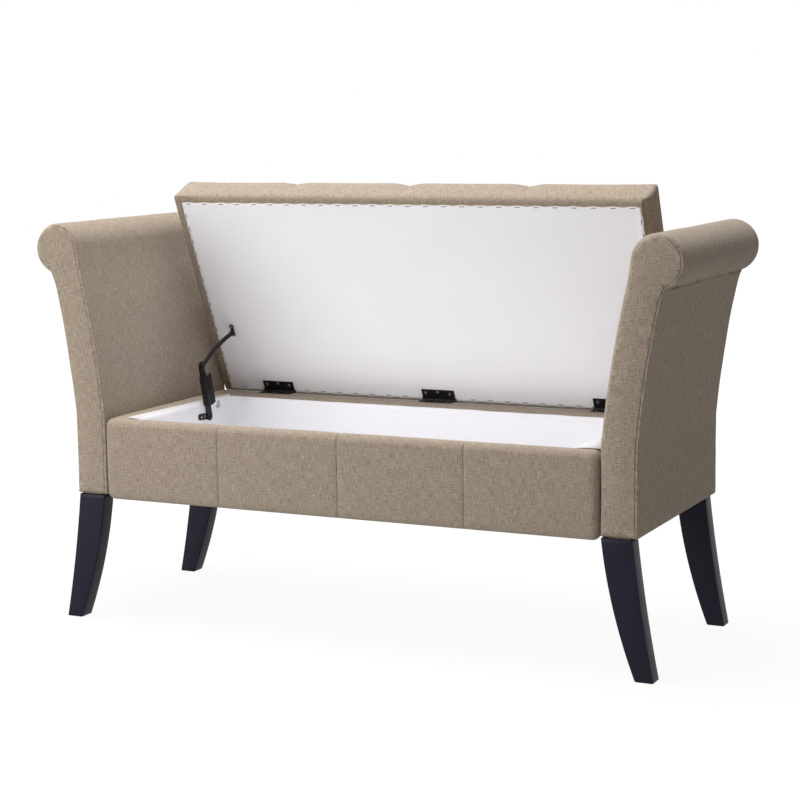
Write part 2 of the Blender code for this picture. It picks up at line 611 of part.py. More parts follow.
def build_lid():
    """The lid: a board in a padded cover with four panels, and a white cloth over its underside."""
    board = box("lid_board", (-LID_PANEL_HALF, LID_PANEL_FRONT, LID_BOARD_UNDERSIDE),
                (LID_PANEL_HALF, LID_PANEL_BACK, LID_BOARD_UNDERSIDE + LID_BOARD_THICKNESS),
                material=plywood, parent=lid_axis)
    undercloth = box("lid_undercloth", (-LID_PANEL_HALF, LID_PANEL_FRONT, LID_UNDERSIDE),
                     (LID_PANEL_HALF, LID_PANEL_BACK, LID_UNDERSIDE + UNDERCLOTH_THICKNESS),
                     material=white_cloth, parent=lid_axis)

    half_reach = (LID_REACH + LID_OVERHANG) / 2
    middle = LID_OVERHANG - half_reach
    top = LID_UNDERSIDE + LID_THICKNESS

    def shape(co):
        up = (co.z - LID_UNDERSIDE) / LID_THICKNESS
        across = (co.y - middle) / half_reach
        along = co.x / LID_HALF
        dip = seam_dip(co.x, LID_SEAM_SPACING, LID_SEAM_HALF_WIDTH)
        fullness = 0.5 * swell(co.x, LID_SEAM_SPACING) + 0.5 * (1 - along ** 4)
        rise = LID_CROWN * fullness * (1 - across ** 4)
        co.z += up ** 2 * (rise - LID_CROWN - LID_SEAM_DEPTH * dip)
        waist = 4 * up * (1 - up)
        slack = waist * swell(co.x, LID_SEAM_SPACING)
        inward = 1 - LID_SIDE_DRAW / half_reach * (1 - slack) * min(1.0, up * 4)
        co.y = middle + (co.y - middle) * (inward - LID_SIDE_DRAW / half_reach * dip * up)
        co.x *= 1 - LID_SIDE_DRAW / LID_HALF * (1 - waist * (1 - across ** 2)) * min(1.0, up * 4)
        return co

    cushion = padded_block(
        "lid_cushion", (-LID_HALF, -LID_REACH, LID_UNDERSIDE), (LID_HALF, LID_OVERHANG, top),
        lambda place: place.z > top - TOUCH or abs(place.z - (top + LID_UNDERSIDE) / 2) < TOUCH,
        LID_EDGE_RADIUS, seam_cuts(LID_SEAM_SPACING, LID_SEAM_HALF_WIDTH, LID_HALF),
        [middle + share * half_reach for share in (-0.8, -0.5, 0.0, 0.5, 0.8)],
        [LID_UNDERSIDE + share * LID_THICKNESS for share in (0.25, 0.55)], shape,
        material=linen, parent=lid_axis)
    board_top = LID_BOARD_UNDERSIDE + LID_BOARD_THICKNESS
    pocket = box("lid_pocket", (-LID_PANEL_HALF - TOUCH, LID_PANEL_FRONT - TOUCH, -LID_THICKNESS),
                 (LID_PANEL_HALF + TOUCH, LID_PANEL_BACK + TOUCH, board_top + TOUCH), parent=lid_axis)
    cut(cushion, pocket)
    for x in (-HINGE_SPACING, 0.0, HINGE_SPACING):
        reach = LEAF_LENGTH / 2 + 2 * PIN_HEAD_LENGTH
        notch = rod("lid_hinge_notch", (x - reach, 0, 0), (x + reach, 0, 0), KNUCKLE_RADIUS + RUNNING,
                    parent=lid_axis)
        cut(cushion, notch)
    return board, undercloth


def strap_outline(route, half_width):
    """The outline of a strap along a route of (y, z) points, with round ends."""
    points = [Vector(point) for point in route]
    left, right = [], []
    for index, point in enumerate(points):
        ahead = points[min(index + 1, len(points) - 1)] - points[max(index - 1, 0)]
        side = Vector((-ahead.y, ahead.x)).normalized() * half_width
        left.append(point + side)
        right.append(point - side)

    def end_arc(centre, start):
        arm = start - centre
        turns = [Matrix.Rotation(-math.pi * step / 8, 2) for step in range(1, 8)]
        return [centre + turn @ arm for turn in turns]

    outline = left + end_arc(points[-1], left[-1]) + right[::-1] + end_arc(points[0], right[0])
    return [tuple(point) for point in outline]


def stay_points():
    """The stay's foot, elbow and lid pivot as (y, z), with the lid open."""
    axis = Vector((HINGE_Y, HINGE_Z))
    foot = axis + Vector(STAY_FOOT_OFFSET)
    elbow = axis + Vector(STAY_ELBOW_OFFSET)
    along = Vector((-math.cos(LID_OPEN_ANGLE), math.sin(LID_OPEN_ANGLE)))
    below = Vector((-math.sin(LID_OPEN_ANGLE), -math.cos(LID_OPEN_ANGLE)))
    return foot, elbow, axis + along * STAY_LID_REACH + below * STAY_LID_DROP


def build_stay(lining, side_rail, lid_board, undercloth):
    """The lid stay: a plate on the box wall, two folding arms and a plate under the lid."""
    foot, elbow, lid_pivot = stay_points()
    build_stay_wall_plate(foot, lining, side_rail)
    build_stay_lower_arm(foot, elbow)
    build_stay_upper_arm(elbow, lid_pivot)
    build_stay_lid_plate(lid_board, undercloth)


def build_stay_wall_plate(foot, lining, side_rail):
    """The plate on the box wall, with the rivet that the lower arm turns on."""
    at_foot = (0, foot.x, foot.y)
    front = STAY_WALL + STAY_PLATE_THICKNESS
    outline = strap_outline([(-STAY_FOOT_PLATE_REACH, STAY_FOOT_PLATE_RISE), (0, 0)],
                            STAY_FOOT_PLATE_HALF_HEIGHT)
    plate = flat_piece("stay_wall_plate", outline, "X", STAY_WALL + STAY_PLATE_THICKNESS / 2,
                       STAY_PLATE_THICKNESS, material=black_steel, location=at_foot)
    head = STAY_STRAP_FACE + STAY_STRAP_THICKNESS + RUNNING
    rivet = rod("stay_wall_rivet", (STAY_WALL + TOUCH, 0, 0), (head, 0, 0), STAY_RIVET_RADIUS,
                sides=SCREW_SIDES, location=at_foot)
    cap = rod("stay_wall_rivet_head", (head - TOUCH, 0, 0), (head + STAY_RIVET_HEAD_THICKNESS, 0, 0),
              STAY_RIVET_HEAD_RADIUS, STAY_RIVET_HEAD_RADIUS * 0.7, sides=SCREW_SIDES, location=at_foot)
    fuse(plate, rivet, cap)
    for number, reach in enumerate(STAY_FOOT_SCREWS, start=1):
        head = (front - SCREW_SUNK, foot.x - reach, foot.y + STAY_FOOT_PLATE_RISE / 2)
        build_screw(f"stay_wall_screw_{number}", head, (-1, 0, 0), plate, [lining, side_rail])


def build_stay_lower_arm(foot, elbow):
    """The lower arm: a strap with a channel that the upper arm folds into, and the elbow rivet."""
    at_foot = (0, foot.x, foot.y)
    reach = elbow - foot
    length = reach.length
    along = reach.normalized()
    across = Vector((-along.y, along.x))

    def place(run, side):
        return tuple(along * run + across * side)

    def slab(name, start, end, low_side, high_side, low_x, high_x):
        corners = [place(start, low_side), place(end, low_side), place(end, high_side),
                   place(start, high_side)]
        return flat_piece(name, corners, "X", (low_x + high_x) / 2, high_x - low_x, location=at_foot)

    strap_back = STAY_STRAP_FACE + STAY_STRAP_THICKNESS
    arm = flat_piece("stay_lower_arm", strap_outline([(0, 0), tuple(reach)], STAY_STRAP_HALF_WIDTH), "X",
                     (STAY_STRAP_FACE + strap_back) / 2, STAY_STRAP_THICKNESS, material=black_steel,
                     location=at_foot)
    low, high = -STAY_CHANNEL_HALF_WIDTH, STAY_CHANNEL_HALF_WIDTH
    back, front = STAY_STRAP_FACE + STAY_CHANNEL_SET_IN, STAY_STRAP_FACE + STAY_CHANNEL_DEPTH
    wall = STAY_CHANNEL_WALL
    channel = slab("stay_channel", STAY_CHANNEL_START, STAY_CHANNEL_END, low, high, back, front)
    inside = slab("stay_channel_inside", STAY_CHANNEL_START - wall, STAY_CHANNEL_END + wall,
                  low - wall, high - wall, back + wall, front - wall)
    cut(channel, inside)
    rib_start, rib_end = place(STAY_CHANNEL_START + wall, 0), place(STAY_CHANNEL_END - wall, 0)
    rib_x = front - wall / 2
    rib = rod("stay_channel_rib", (rib_x, *rib_start), (rib_x, *rib_end), STAY_RIB_RADIUS,
              sides=SCREW_SIDES, location=at_foot)
    head = STAY_ARM_FACE + STAY_STRAP_THICKNESS + RUNNING
    rivet = rod("stay_elbow_rivet", (strap_back - TOUCH, *place(length, 0)), (head, *place(length, 0)),
                STAY_RIVET_RADIUS, sides=SCREW_SIDES, location=at_foot)
    cap = rod("stay_elbow_rivet_head", (head - TOUCH, *place(length, 0)),
              (head + STAY_RIVET_HEAD_THICKNESS, *place(length, 0)), STAY_RIVET_HEAD_RADIUS,
              STAY_RIVET_HEAD_RADIUS * 0.7, sides=SCREW_SIDES, location=at_foot)
    fuse(arm, channel, rib, rivet, cap)
    hole = rod("stay_wall_rivet_hole", (STAY_STRAP_FACE - TOUCH, 0, 0), (strap_back + TOUCH, 0, 0),
               STAY_RIVET_RADIUS + RUNNING, sides=SCREW_SIDES, location=at_foot)
    cut(arm, hole)


def build_stay_upper_arm(elbow, lid_pivot):
    """The upper arm: a bowed strap from the elbow to the lid plate."""
    at_elbow = (0, elbow.x, elbow.y)
    chord = lid_pivot - elbow
    bow = Vector((-chord.y, chord.x)).normalized() * STAY_ARM_BOW
    route = []
    for step in range(STAY_ARM_STEPS + 1):
        share = step / STAY_ARM_STEPS
        route.append(tuple(chord * share + bow * 2 * share * (1 - share)))
    face = STAY_ARM_FACE
    arm = flat_piece("stay_upper_arm", strap_outline(route, STAY_ARM_HALF_WIDTH), "X",
                     face + STAY_STRAP_THICKNESS / 2, STAY_STRAP_THICKNESS, material=black_steel,
                     location=at_elbow)
    hole = rod("stay_elbow_rivet_hole", (face - TOUCH, 0, 0), (face + STAY_STRAP_THICKNESS + TOUCH, 0, 0),
               STAY_RIVET_RADIUS + RUNNING, sides=SCREW_SIDES, location=at_elbow)
    back = face + STAY_STRAP_THICKNESS
    cap = rod("stay_lid_rivet_head", (back - TOUCH, *chord), (back + STAY_RIVET_HEAD_THICKNESS, *chord),
              STAY_RIVET_HEAD_RADIUS, STAY_RIVET_HEAD_RADIUS * 0.7, sides=SCREW_SIDES, location=at_elbow)
    fuse(arm, cap)
    cut(arm, hole)


def build_stay_lid_plate(lid_board, undercloth):
    """The plate under the lid with the ear that the upper arm hangs from."""
    top = LID_UNDERSIDE - TOUCH
    bottom = top - STAY_PLATE_THICKNESS
    ear_end = STAY_ARM_FACE - RUNNING
    centre_x = STAY_WALL + STAY_LID_PLATE_OFFSET
    outline = []
    for sign in (1, -1):
        for step in range(-6, 7):
            angle = STAY_LID_PLATE_WAIST * step / 6
            outline.append((centre_x + sign * STAY_LID_PLATE_END_RADIUS * math.sin(angle),
                            sign * (STAY_LID_SCREW_OFFSET + STAY_LID_PLATE_END_RADIUS * math.cos(angle))
                            - STAY_LID_REACH))
    plate = flat_piece("stay_lid_plate", outline, "Z", (bottom + top) / 2, STAY_PLATE_THICKNESS,
                       material=black_steel, parent=lid_axis)
    ear_outline = strap_outline([(-STAY_LID_REACH, bottom), (-STAY_LID_REACH, -STAY_LID_DROP)],
                                STAY_EAR_HALF_WIDTH)
    ear = flat_piece("stay_lid_ear", ear_outline, "X", ear_end - STAY_EAR_THICKNESS / 2,
                     STAY_EAR_THICKNESS, parent=lid_axis)
    reach = LID_THICKNESS
    spare = box("stay_lid_ear_spare", (centre_x - reach, -STAY_LID_REACH - reach, top),
                (centre_x + reach, -STAY_LID_REACH + reach, top + reach), parent=lid_axis)
    fuse(plate, ear)
    cut(plate, spare)
    for number, sign in ((1, -1), (2, 1)):
        head = (centre_x, -STAY_LID_REACH + sign * STAY_LID_SCREW_OFFSET, bottom + SCREW_SUNK)
        build_screw(f"stay_lid_screw_{number}", head, (0, 0, 1), plate, [lid_board, undercloth],
                    parent=lid_axis)


for leftover in list(bpy.data.objects):
    bpy.data.objects.remove(leftover)

bench = make_collection("storage_bench")
cutters = make_collection("cutters")
SIDES = (("left", -1), ("right", 1))

linen = make_material("linen", (0.42, 0.35, 0.27), 0.9)
plywood = make_material("plywood", (0.62, 0.47, 0.30), 0.6)
black_wood = make_material("black_wood", (0.012, 0.010, 0.012), 0.35)
white_cloth = make_material("white_cloth", (0.82, 0.81, 0.83), 0.85)
black_cloth = make_material("black_cloth", (0.02, 0.02, 0.02), 0.9)
black_steel = make_material("black_steel", (0.02, 0.018, 0.02), 0.4, 0.8)
zinc = make_material("zinc", (0.62, 0.63, 0.65), 0.3, 1.0)

lid_axis = bpy.data.objects.new("lid_axis", None)
bench.objects.link(lid_axis)
lid_axis.location = (0, HINGE_Y, HINGE_Z)
lid_axis.rotation_euler = (-LID_OPEN_ANGLE, 0, 0)

build_front_rail()
back_rail, side_rails, lining = build_box()
lid_board, undercloth = build_lid()
for side, sign in SIDES:
    cover, frame = build_arm(side, sign)
    build_leg("front", FRONT_LEG_MIDDLE, side, sign, frame)
    build_leg("rear", REAR_LEG_MIDDLE, side, sign, frame)
    build_arm_bolt(side, sign, lining, side_rails[side], cover, frame)
for side, x in (("left", -HINGE_SPACING), ("middle", 0.0), ("right", HINGE_SPACING)):
    build_hinge(side, x, back_rail, lid_board, undercloth)
build_stay(lining, side_rails["left"], lid_board, undercloth)
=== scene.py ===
"""Upholstered storage bench: the looks of each piece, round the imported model.

Metres, +Z up, the front faces -Y. The lid stands open at rest.
"""

import json
import math

import bpy
import numpy as np
from mathutils import Matrix, Vector, noise
from mathutils.geometry import delaunay_2d_cdt

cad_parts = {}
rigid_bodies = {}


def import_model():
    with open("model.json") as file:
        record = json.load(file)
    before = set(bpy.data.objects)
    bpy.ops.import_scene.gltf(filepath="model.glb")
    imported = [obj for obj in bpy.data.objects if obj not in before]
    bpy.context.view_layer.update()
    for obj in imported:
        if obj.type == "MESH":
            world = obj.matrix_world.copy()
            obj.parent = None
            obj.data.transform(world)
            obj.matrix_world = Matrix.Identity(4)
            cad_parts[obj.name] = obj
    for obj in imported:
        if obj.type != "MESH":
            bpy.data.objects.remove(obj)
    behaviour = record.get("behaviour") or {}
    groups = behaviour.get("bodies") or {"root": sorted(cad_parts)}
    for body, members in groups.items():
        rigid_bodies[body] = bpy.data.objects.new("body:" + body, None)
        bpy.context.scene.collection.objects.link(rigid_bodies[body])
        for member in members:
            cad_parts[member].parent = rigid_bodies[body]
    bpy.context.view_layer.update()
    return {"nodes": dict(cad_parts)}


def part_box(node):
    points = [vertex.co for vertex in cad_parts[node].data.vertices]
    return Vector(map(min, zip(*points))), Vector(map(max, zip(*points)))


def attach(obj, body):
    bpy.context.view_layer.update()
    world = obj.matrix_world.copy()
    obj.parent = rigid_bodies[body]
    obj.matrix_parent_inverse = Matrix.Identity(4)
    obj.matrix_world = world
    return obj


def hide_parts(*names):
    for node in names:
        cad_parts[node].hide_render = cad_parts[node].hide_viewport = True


for leftover in list(bpy.data.objects):
    bpy.data.objects.remove(leftover)

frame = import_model()
nodes = frame["nodes"]


# ----------------------------------------------------------------------
# Front rail: a board under thin padding, covered in beige linen. The cover is sewn from four panels, wraps
# over the board's top and foot, and is drawn in a little at each of its three seams.

def add_node(tree, kind, inputs=None, **settings):
    """A shader node with its settings; an input is a value or another node's socket."""
    made = tree.nodes.new("ShaderNode" + kind)
    for name, value in settings.items():
        setattr(made, name, value)
    for name, value in (inputs or {}).items():
        if isinstance(value, bpy.types.NodeSocket):
            tree.links.new(value, made.inputs[name])
        else:
            made.inputs[name].default_value = value
    return made


def maths(tree, operation, *values):
    """The result of one math node."""
    return add_node(tree, "Math", dict(enumerate(values)), operation=operation).outputs[0]


def mixed(tree, share, first, second, blend="MIX"):
    """Two colours mixed."""
    inputs = {0: share, 6: first, 7: second}
    return add_node(tree, "Mix", inputs, data_type="RGBA", blend_type=blend).outputs[2]


def cloudy(tree, vector, scale, detail=2.0):
    """Soft noise from 0 to 1."""
    inputs = {"Vector": vector, "Scale": scale, "Detail": detail}
    return add_node(tree, "TexNoise", inputs, noise_dimensions="3D").outputs["Fac"]


def new_effect(name, inputs, outputs):
    """An empty shader node group: its tree, what goes in and where the results go."""
    group = bpy.data.node_groups.new(name, "ShaderNodeTree")
    for label, kind in inputs:
        group.interface.new_socket(label, in_out="INPUT", socket_type=kind)
    for label, kind in outputs:
        group.interface.new_socket(label, in_out="OUTPUT", socket_type=kind)
    start = group.nodes.new("NodeGroupInput")
    end = group.nodes.new("NodeGroupOutput")
    return group, start.outputs, end.inputs


def linen_threads():
    """Plain weave with thick and thin places in its threads, from places on the cloth in metres."""
    tree, given, result = new_effect(
        "linen threads",
        [("Place", "NodeSocketVector"), ("Dark", "NodeSocketColor"), ("Light", "NodeSocketColor")],
        [("Color", "NodeSocketColor"), ("Height", "NodeSocketFloat")])
    pitch = 0.0011
    place = add_node(tree, "SeparateXYZ", {0: given["Place"]}).outputs
    wander = maths(tree, "MULTIPLY", cloudy(tree, given["Place"], 120.0, 1.0), 0.8)
    across = maths(tree, "ADD", maths(tree, "DIVIDE", place[0], pitch), wander)
    along = maths(tree, "SUBTRACT", maths(tree, "DIVIDE", place[1], pitch), wander)

    def thread(position, other, start):
        """Height of one set of threads, which pass over and under the other set."""
        round_top = maths(tree, "SINE", maths(tree, "MULTIPLY", maths(tree, "FRACT", position), math.pi))
        turn = maths(tree, "ADD", maths(tree, "SUBTRACT", other, 0.5), maths(tree, "FLOOR", position))
        over = maths(tree, "COSINE", maths(tree, "MULTIPLY", maths(tree, "ADD", turn, start), math.pi))
        return maths(tree, "MULTIPLY", round_top, maths(tree, "MULTIPLY_ADD", over, 0.38, 0.62))

    weave = maths(tree, "MAXIMUM", thread(across, along, 0.0), thread(along, across, 1.0))

    def slubs(first, second):
        """Streaks along one set of threads."""
        spot = add_node(tree, "CombineXYZ", {0: first, 1: second}).outputs[0]
        return maths(tree, "SUBTRACT", cloudy(tree, spot, 1.0, 3.0), 0.5)

    upright = slubs(maths(tree, "DIVIDE", place[0], 0.0016), maths(tree, "DIVIDE", place[1], 0.017))
    level = slubs(maths(tree, "DIVIDE", place[0], 0.015), maths(tree, "DIVIDE", place[1], 0.0016))
    grain = maths(tree, "SUBTRACT", cloudy(tree, given["Place"], 420.0, 2.0), 0.5)
    streaks = maths(tree, "ADD", maths(tree, "ADD", upright, maths(tree, "MULTIPLY", level, 0.8)), grain)
    patches = maths(tree, "SUBTRACT", cloudy(tree, given["Place"], 30.0, 3.0), 0.5)
    tone = maths(tree, "MULTIPLY_ADD", patches, 0.16, maths(tree, "MULTIPLY_ADD", streaks, 1.30, 0.5))
    tone = add_node(tree, "Clamp", {0: tone}).outputs[0]
    colour = mixed(tree, tone, given["Dark"], given["Light"])
    # Painted shade: the colour is darkened where the weave is low, in the hollows between the threads.
    shade = maths(tree, "MULTIPLY_ADD", weave, 0.32, 0.74)
    grey = add_node(tree, "CombineXYZ", {0: shade, 1: shade, 2: shade}).outputs[0]
    tree.links.new(mixed(tree, 1.0, colour, grey, "MULTIPLY"), result["Color"])
    tree.links.new(maths(tree, "MULTIPLY_ADD", streaks, 0.5, weave), result["Height"])
    return tree


def new_material(name, values):
    """A material, its node tree and its shader with the values that are the same all over."""
    material = bpy.data.materials.new(name)
    material.use_nodes = True
    shader = material.node_tree.nodes["Principled BSDF"]
    for label, value in values.items():
        shader.inputs[label].default_value = value
    return material, material.node_tree, shader


def set_surface(tree, shader, colour, height, strength, depth):
    """Give a shader its colour and its relief."""
    tree.links.new(colour, shader.inputs["Base Color"])
    bump = add_node(tree, "Bump", {"Strength": strength, "Distance": depth, "Height": height})
    tree.links.new(bump.outputs[0], shader.inputs["Normal"])


def woven_cloth(name, dark, light):
    """Coarse linen in two tones of yarn."""
    material, tree, shader = new_material(name, {
        "Roughness": 0.92, "Specular IOR Level": 0.25, "Sheen Weight": 0.12, "Sheen Roughness": 0.5})
    threads = tree.nodes.new("ShaderNodeGroup")
    threads.node_tree = linen_weave
    tree.links.new(add_node(tree, "UVMap", uv_map="cloth").outputs[0], threads.inputs["Place"])
    threads.inputs["Dark"].default_value = (*dark, 1.0)
    threads.inputs["Light"].default_value = (*light, 1.0)
    set_surface(tree, shader, threads.outputs["Color"], threads.outputs["Height"],
                strength=0.55, depth=0.0005)
    return material


linen_weave = linen_threads()
linen = woven_cloth("beige linen", dark=(0.200, 0.156, 0.113), light=(0.514, 0.420, 0.329))


def put_in(name, data):
    """A new object in the scene."""
    made = bpy.data.objects.new(name, data)
    bpy.context.scene.collection.objects.link(made)
    return made


def add_piece(name, points, faces, material, body, spots=None):
    """A smooth mesh piece that rides on a body; spots are the places on the cloth of each face's corners."""
    mesh = bpy.data.meshes.new(name)
    mesh.from_pydata([tuple(point) for point in points], [], faces)
    if spots is not None:
        mesh.uv_layers.new(name="cloth").data.foreach_set("uv", np.array(spots, np.float32).ravel())
    mesh.materials.append(material)
    mesh.shade_smooth()
    piece = put_in(name, mesh)
    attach(piece, body)
    return piece


def spread(low, high, radius, step, also=()):
    """Places from one end to the other: close together on the rounded ends, even between, and the extra ones."""
    arc = [radius * (1 - math.tan(math.radians(turn))) for turn in (45, 30, 15, 0)]
    inner_low, inner_high = low + radius, high - radius
    count = max(1, round((inner_high - inner_low) / step))
    even = [inner_low + (inner_high - inner_low) * index / count for index in range(1, count)]
    even = [place for place in even if all(abs(place - extra) > step * 0.45 for extra in also)]
    ends = [low + part for part in arc] + [high - part for part in arc]
    return sorted(ends + even + list(also))


def block(xs, ys, zs, radius, foot=2.0, corner=2.0):
    """A closed block on a grid of places with rounded edges: its points, quads and the quads' cloth places.

    The edges of its lower half and its upright corners are round at 2 and squarer above that.
    """
    places = (xs, ys, zs)
    numbers, points, quads, spots = {}, [], [], []

    def number(key):
        """The number of a point, made at its first use."""
        if key not in numbers:
            numbers[key] = len(points)
            points.append([places[axis][key[axis]] for axis in range(3)])
        return numbers[key]

    def unrolled(axis, at_end, x, y, z):
        """The place on the cloth, which runs from under the block up its front, over its top and down its back."""
        if axis == 0:
            return y, z
        if axis == 1:
            return (x, zs[-1] + ys[-1] - ys[0] + zs[-1] - z) if at_end else (x, z)
        return (x, zs[-1] + y - ys[0]) if at_end else (x, zs[0] + ys[0] - y)

    for axis in range(3):
        first, second = [other for other in range(3) if other != axis]
        for end in (0, len(places[axis]) - 1):
            for row in range(len(places[first]) - 1):
                for column in range(len(places[second]) - 1):
                    keys = []
                    for down, over in ((0, 0), (1, 0), (1, 1), (0, 1)):
                        key = [0, 0, 0]
                        key[axis], key[first], key[second] = end, row + down, column + over
                        keys.append(tuple(key))
                    if (end == 0) != (axis == 1):
                        keys.reverse()
                    quads.append([number(key) for key in keys])
                    spots += [unrolled(axis, end > 0, *[places[a][key[a]] for a in range(3)]) for key in keys]
    points = np.array(points)
    low, high = points.min(0) + radius, points.max(0) - radius
    inner = np.clip(points, low, high)
    away = points - inner
    away /= np.linalg.norm(away, axis=1)[:, None]
    level = (abs(away[:, :2]) ** corner).sum(1) ** (1 / corner)
    power = np.where(points[:, 2] < (low[2] + high[2]) / 2, foot, 2.0)
    away /= ((level ** power + abs(away[:, 2]) ** power) ** (1 / power))[:, None]
    return inner + away * radius, quads, spots


def ripple(point, size, seed=0.0):
    """Smooth unevenness from -1 to 1 with waves of about one size."""
    return noise.noise(Vector(point) / size + Vector((seed, seed * 1.7, 0)))


def nearest_seam(x, spacing):
    """Distance to the nearest of the three seams across a cover."""
    return min(abs(x - seam) for seam in (-spacing, 0.0, spacing))


def sewn(x, spacing, run):
    """How far a cover sinks along a seam, deeper between the stitches, with small gathers beside them."""
    off = nearest_seam(x, spacing)
    groove = (0.0016 + 0.0010 * ripple((run, 0, x), 0.004)) * math.exp(-((off / 0.0013) ** 2))
    valley = 0.0007 * math.exp(-((off / 0.0070) ** 2))
    gathers = 0.0005 * math.exp(-((off / 0.0110) ** 2)) * ripple((run, x * 30, 0), 0.011)
    return groove + valley + gathers


def seam_places(spacing):
    """Places across a cover, close together at its three seams."""
    near = (0.0008, 0.0018, 0.0032, 0.005, 0.008, 0.012)
    return [seam + off for seam in (-spacing, 0.0, spacing) for off in (*(-gap for gap in near), 0.0, *near)]


def build_front_rail():
    radius, panel, rail_back, board_front = 0.0145, 0.25, -0.2215, -0.2398
    low, high = Vector((-0.4997, -0.2531, 0.2386)), Vector((0.4997, rail_back, 0.3953))
    pocket = (0.24605, 0.24625, 0.3826, 0.3828)
    xs = spread(low.x, high.x, radius, 0.010, seam_places(panel))
    ys = spread(low.y, high.y, radius, 0.006)
    zs = spread(low.z, high.z, radius, 0.007, pocket)
    points, quads, spots = block(xs, ys, zs, radius)
    middle, half = (low.z + high.z) / 2, (high.z - low.z) / 2
    for point in points:
        x, y, z = point
        if y > rail_back - 0.0001 and 0.2462 < z < 0.3827 and abs(x) < 0.4975:
            point[1] = board_front
            continue
        front = min(1.0, max(0.0, (rail_back - y) / 0.03))
        up = min(1.0, max(0.0, (z - middle) / half))
        bulge = (1 - ((z - middle) / half) ** 2) * (1 - math.exp(-nearest_seam(x, panel) / 0.05))
        drawn = sewn(x, panel, z + y)
        point[1] += front * (0.0012 - 0.0026 * bulge + drawn + 0.0004 * ripple((x, z, 0), 0.045))
        point[2] -= up ** 3 * (drawn * 0.25 + 0.0005 * ripple((x, 0, 1), 0.06))
    cover = add_piece("front_rail_linen", points, quads, linen, "bench", spots)
    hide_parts("front_rail_pad")


build_front_rail()


# ----------------------------------------------------------------------
# Side rails and back rail: boards that close the box, each wrapped in the same linen, pulled tight round
# slightly softened edges and stapled out of sight.

def wrapped_board(name, node):
    """A board in a tight cloth cover."""
    low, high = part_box(node)
    radius = 0.0045
    axes = [spread(low[axis], high[axis], radius, 0.016) for axis in range(3)]
    points, quads, spots = block(*axes, radius)
    for point in points:
        if point[2] < high.z - 0.002:
            point[1] += 0.0002 * ripple(point, 0.05)
    cover = add_piece(name, points, quads, linen, "bench", spots)
    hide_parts(node)


for rail in ("back_rail", "left_side_rail", "right_side_rail"):
    wrapped_board(f"{rail}_linen", rail)


# ----------------------------------------------------------------------
# Arms: a curved frame under padding. The linen of the sides wraps round the edges onto the front, where a
# narrow seam joins it to a softly crowned facing; under the roll the outer cloth is tucked into a crease.

ARM_FRONT, ARM_BACK = -0.2495, 0.2030
ROLL_CENTRE, ROLL_RADIUS = Vector((0.5995, 0.717)), 0.048
SIDE_POINTS, ROLL_POINTS, CREASE_POINTS = 38, 53, 3


def arm_lean(height):
    """How far the arm has leant out at a height."""
    above = max(0.0, height - 0.4)
    return 0.0884 * above + 0.26 * above ** 2


def arc(x, y, radius, turns):
    """Points on a circle, at these turns in degrees."""
    angles = [math.radians(turn) for turn in turns]
    return [(x + radius * math.cos(angle), y + radius * math.sin(angle)) for angle in angles]


def arm_outline(inset, tuck=0.0018, mouth=0.0013):
    """The right arm from the front as (x, z), this far inside its edge; the same number of points each time.

    Under the roll the outer cloth flares out to a crease, tucked in this deep and open this wide.
    """
    inner, outer, bottom = 0.5 + inset, 0.57 - inset, 0.2464 + inset
    centre, radius = ROLL_CENTRE, ROLL_RADIUS - inset
    corner, inner_top, flare_top = max(0.005 - inset, 0.0006), 0.685, 0.677

    def outer_side(height):
        return outer + arm_lean(height) + 0.0055 * math.exp(-max(0.0, flare_top - height) / 0.011)

    def on_roll(angle):
        return centre.x + radius * math.cos(angle), centre.y + radius * math.sin(angle)

    crook, limit = math.radians(-89), 0.0
    for _ in range(40):
        middle = (crook + limit) / 2
        x, z = on_roll(middle)
        crook, limit = (crook, middle) if x > outer_side(z) else (middle, limit)
    reach = centre - Vector((inner + arm_lean(inner_top), inner_top))
    start = math.atan2(reach.y, reach.x) + math.asin(radius / reach.length) + math.pi / 2

    outline = []
    for step in range(SIDE_POINTS):
        height = bottom + corner + (inner_top - bottom - corner) * step / (SIDE_POINTS - 1)
        outline.append((inner + arm_lean(height), height))
    last = crook + mouth / radius
    outline += [on_roll(start + (last - start) * step / (ROLL_POINTS - 1)) for step in range(ROLL_POINTS)]
    crease = Vector(on_roll(crook))
    inward = ((centre - crease).normalized() + Vector((-1, 0))).normalized()
    outline += [tuple(crease + inward * tuck * share) for share in (0.45, 1.0, 0.62)]
    top = crease.y - mouth
    for step in range(SIDE_POINTS):
        height = top + (bottom + corner - top) * (step / (SIDE_POINTS - 1)) ** 1.25
        outline.append((outer_side(height), height))
    outline += arc(outer - corner, bottom + corner, corner, (-22.5, -45, -67.5, -90))
    outline += [(outer - corner + (inner - outer + 2 * corner) * step / 6, bottom) for step in range(1, 6)]
    return outline + arc(inner + corner, bottom + corner, corner, (-90, -112.5, -135, -157.5))


def inside_outline(outline, step, margin):
    """A staggered grid of points inside an outline, none closer to it than the margin."""
    edge = np.array(outline)
    after = np.roll(edge, -1, axis=0)
    low, high = edge.min(0), edge.max(0)
    found = []
    for column, x in enumerate(np.arange(low[0], high[0], step)):
        for z in np.arange(low[1] + (step / 2 if column % 2 else 0), high[1], step):
            crossing = ((edge[:, 1] > z) != (after[:, 1] > z)) & (
                x < (after[:, 0] - edge[:, 0]) * (z - edge[:, 1]) / (after[:, 1] - edge[:, 1] + 1e-12) + edge[:, 0])
            if crossing.sum() % 2 and outline_distance(edge, x, z) > margin:
                found.append((x, z))
    return found


def outline_distance(edge, x, z):
    """How far a point is from an outline."""
    along = np.roll(edge, -1, axis=0) - edge
    share = ((np.array((x, z)) - edge) * along).sum(1) / np.maximum((along ** 2).sum(1), 1e-12)
    near = edge + along * np.clip(share, 0, 1)[:, None]
    return float(np.sqrt(((near - (x, z)) ** 2).sum(1)).min())


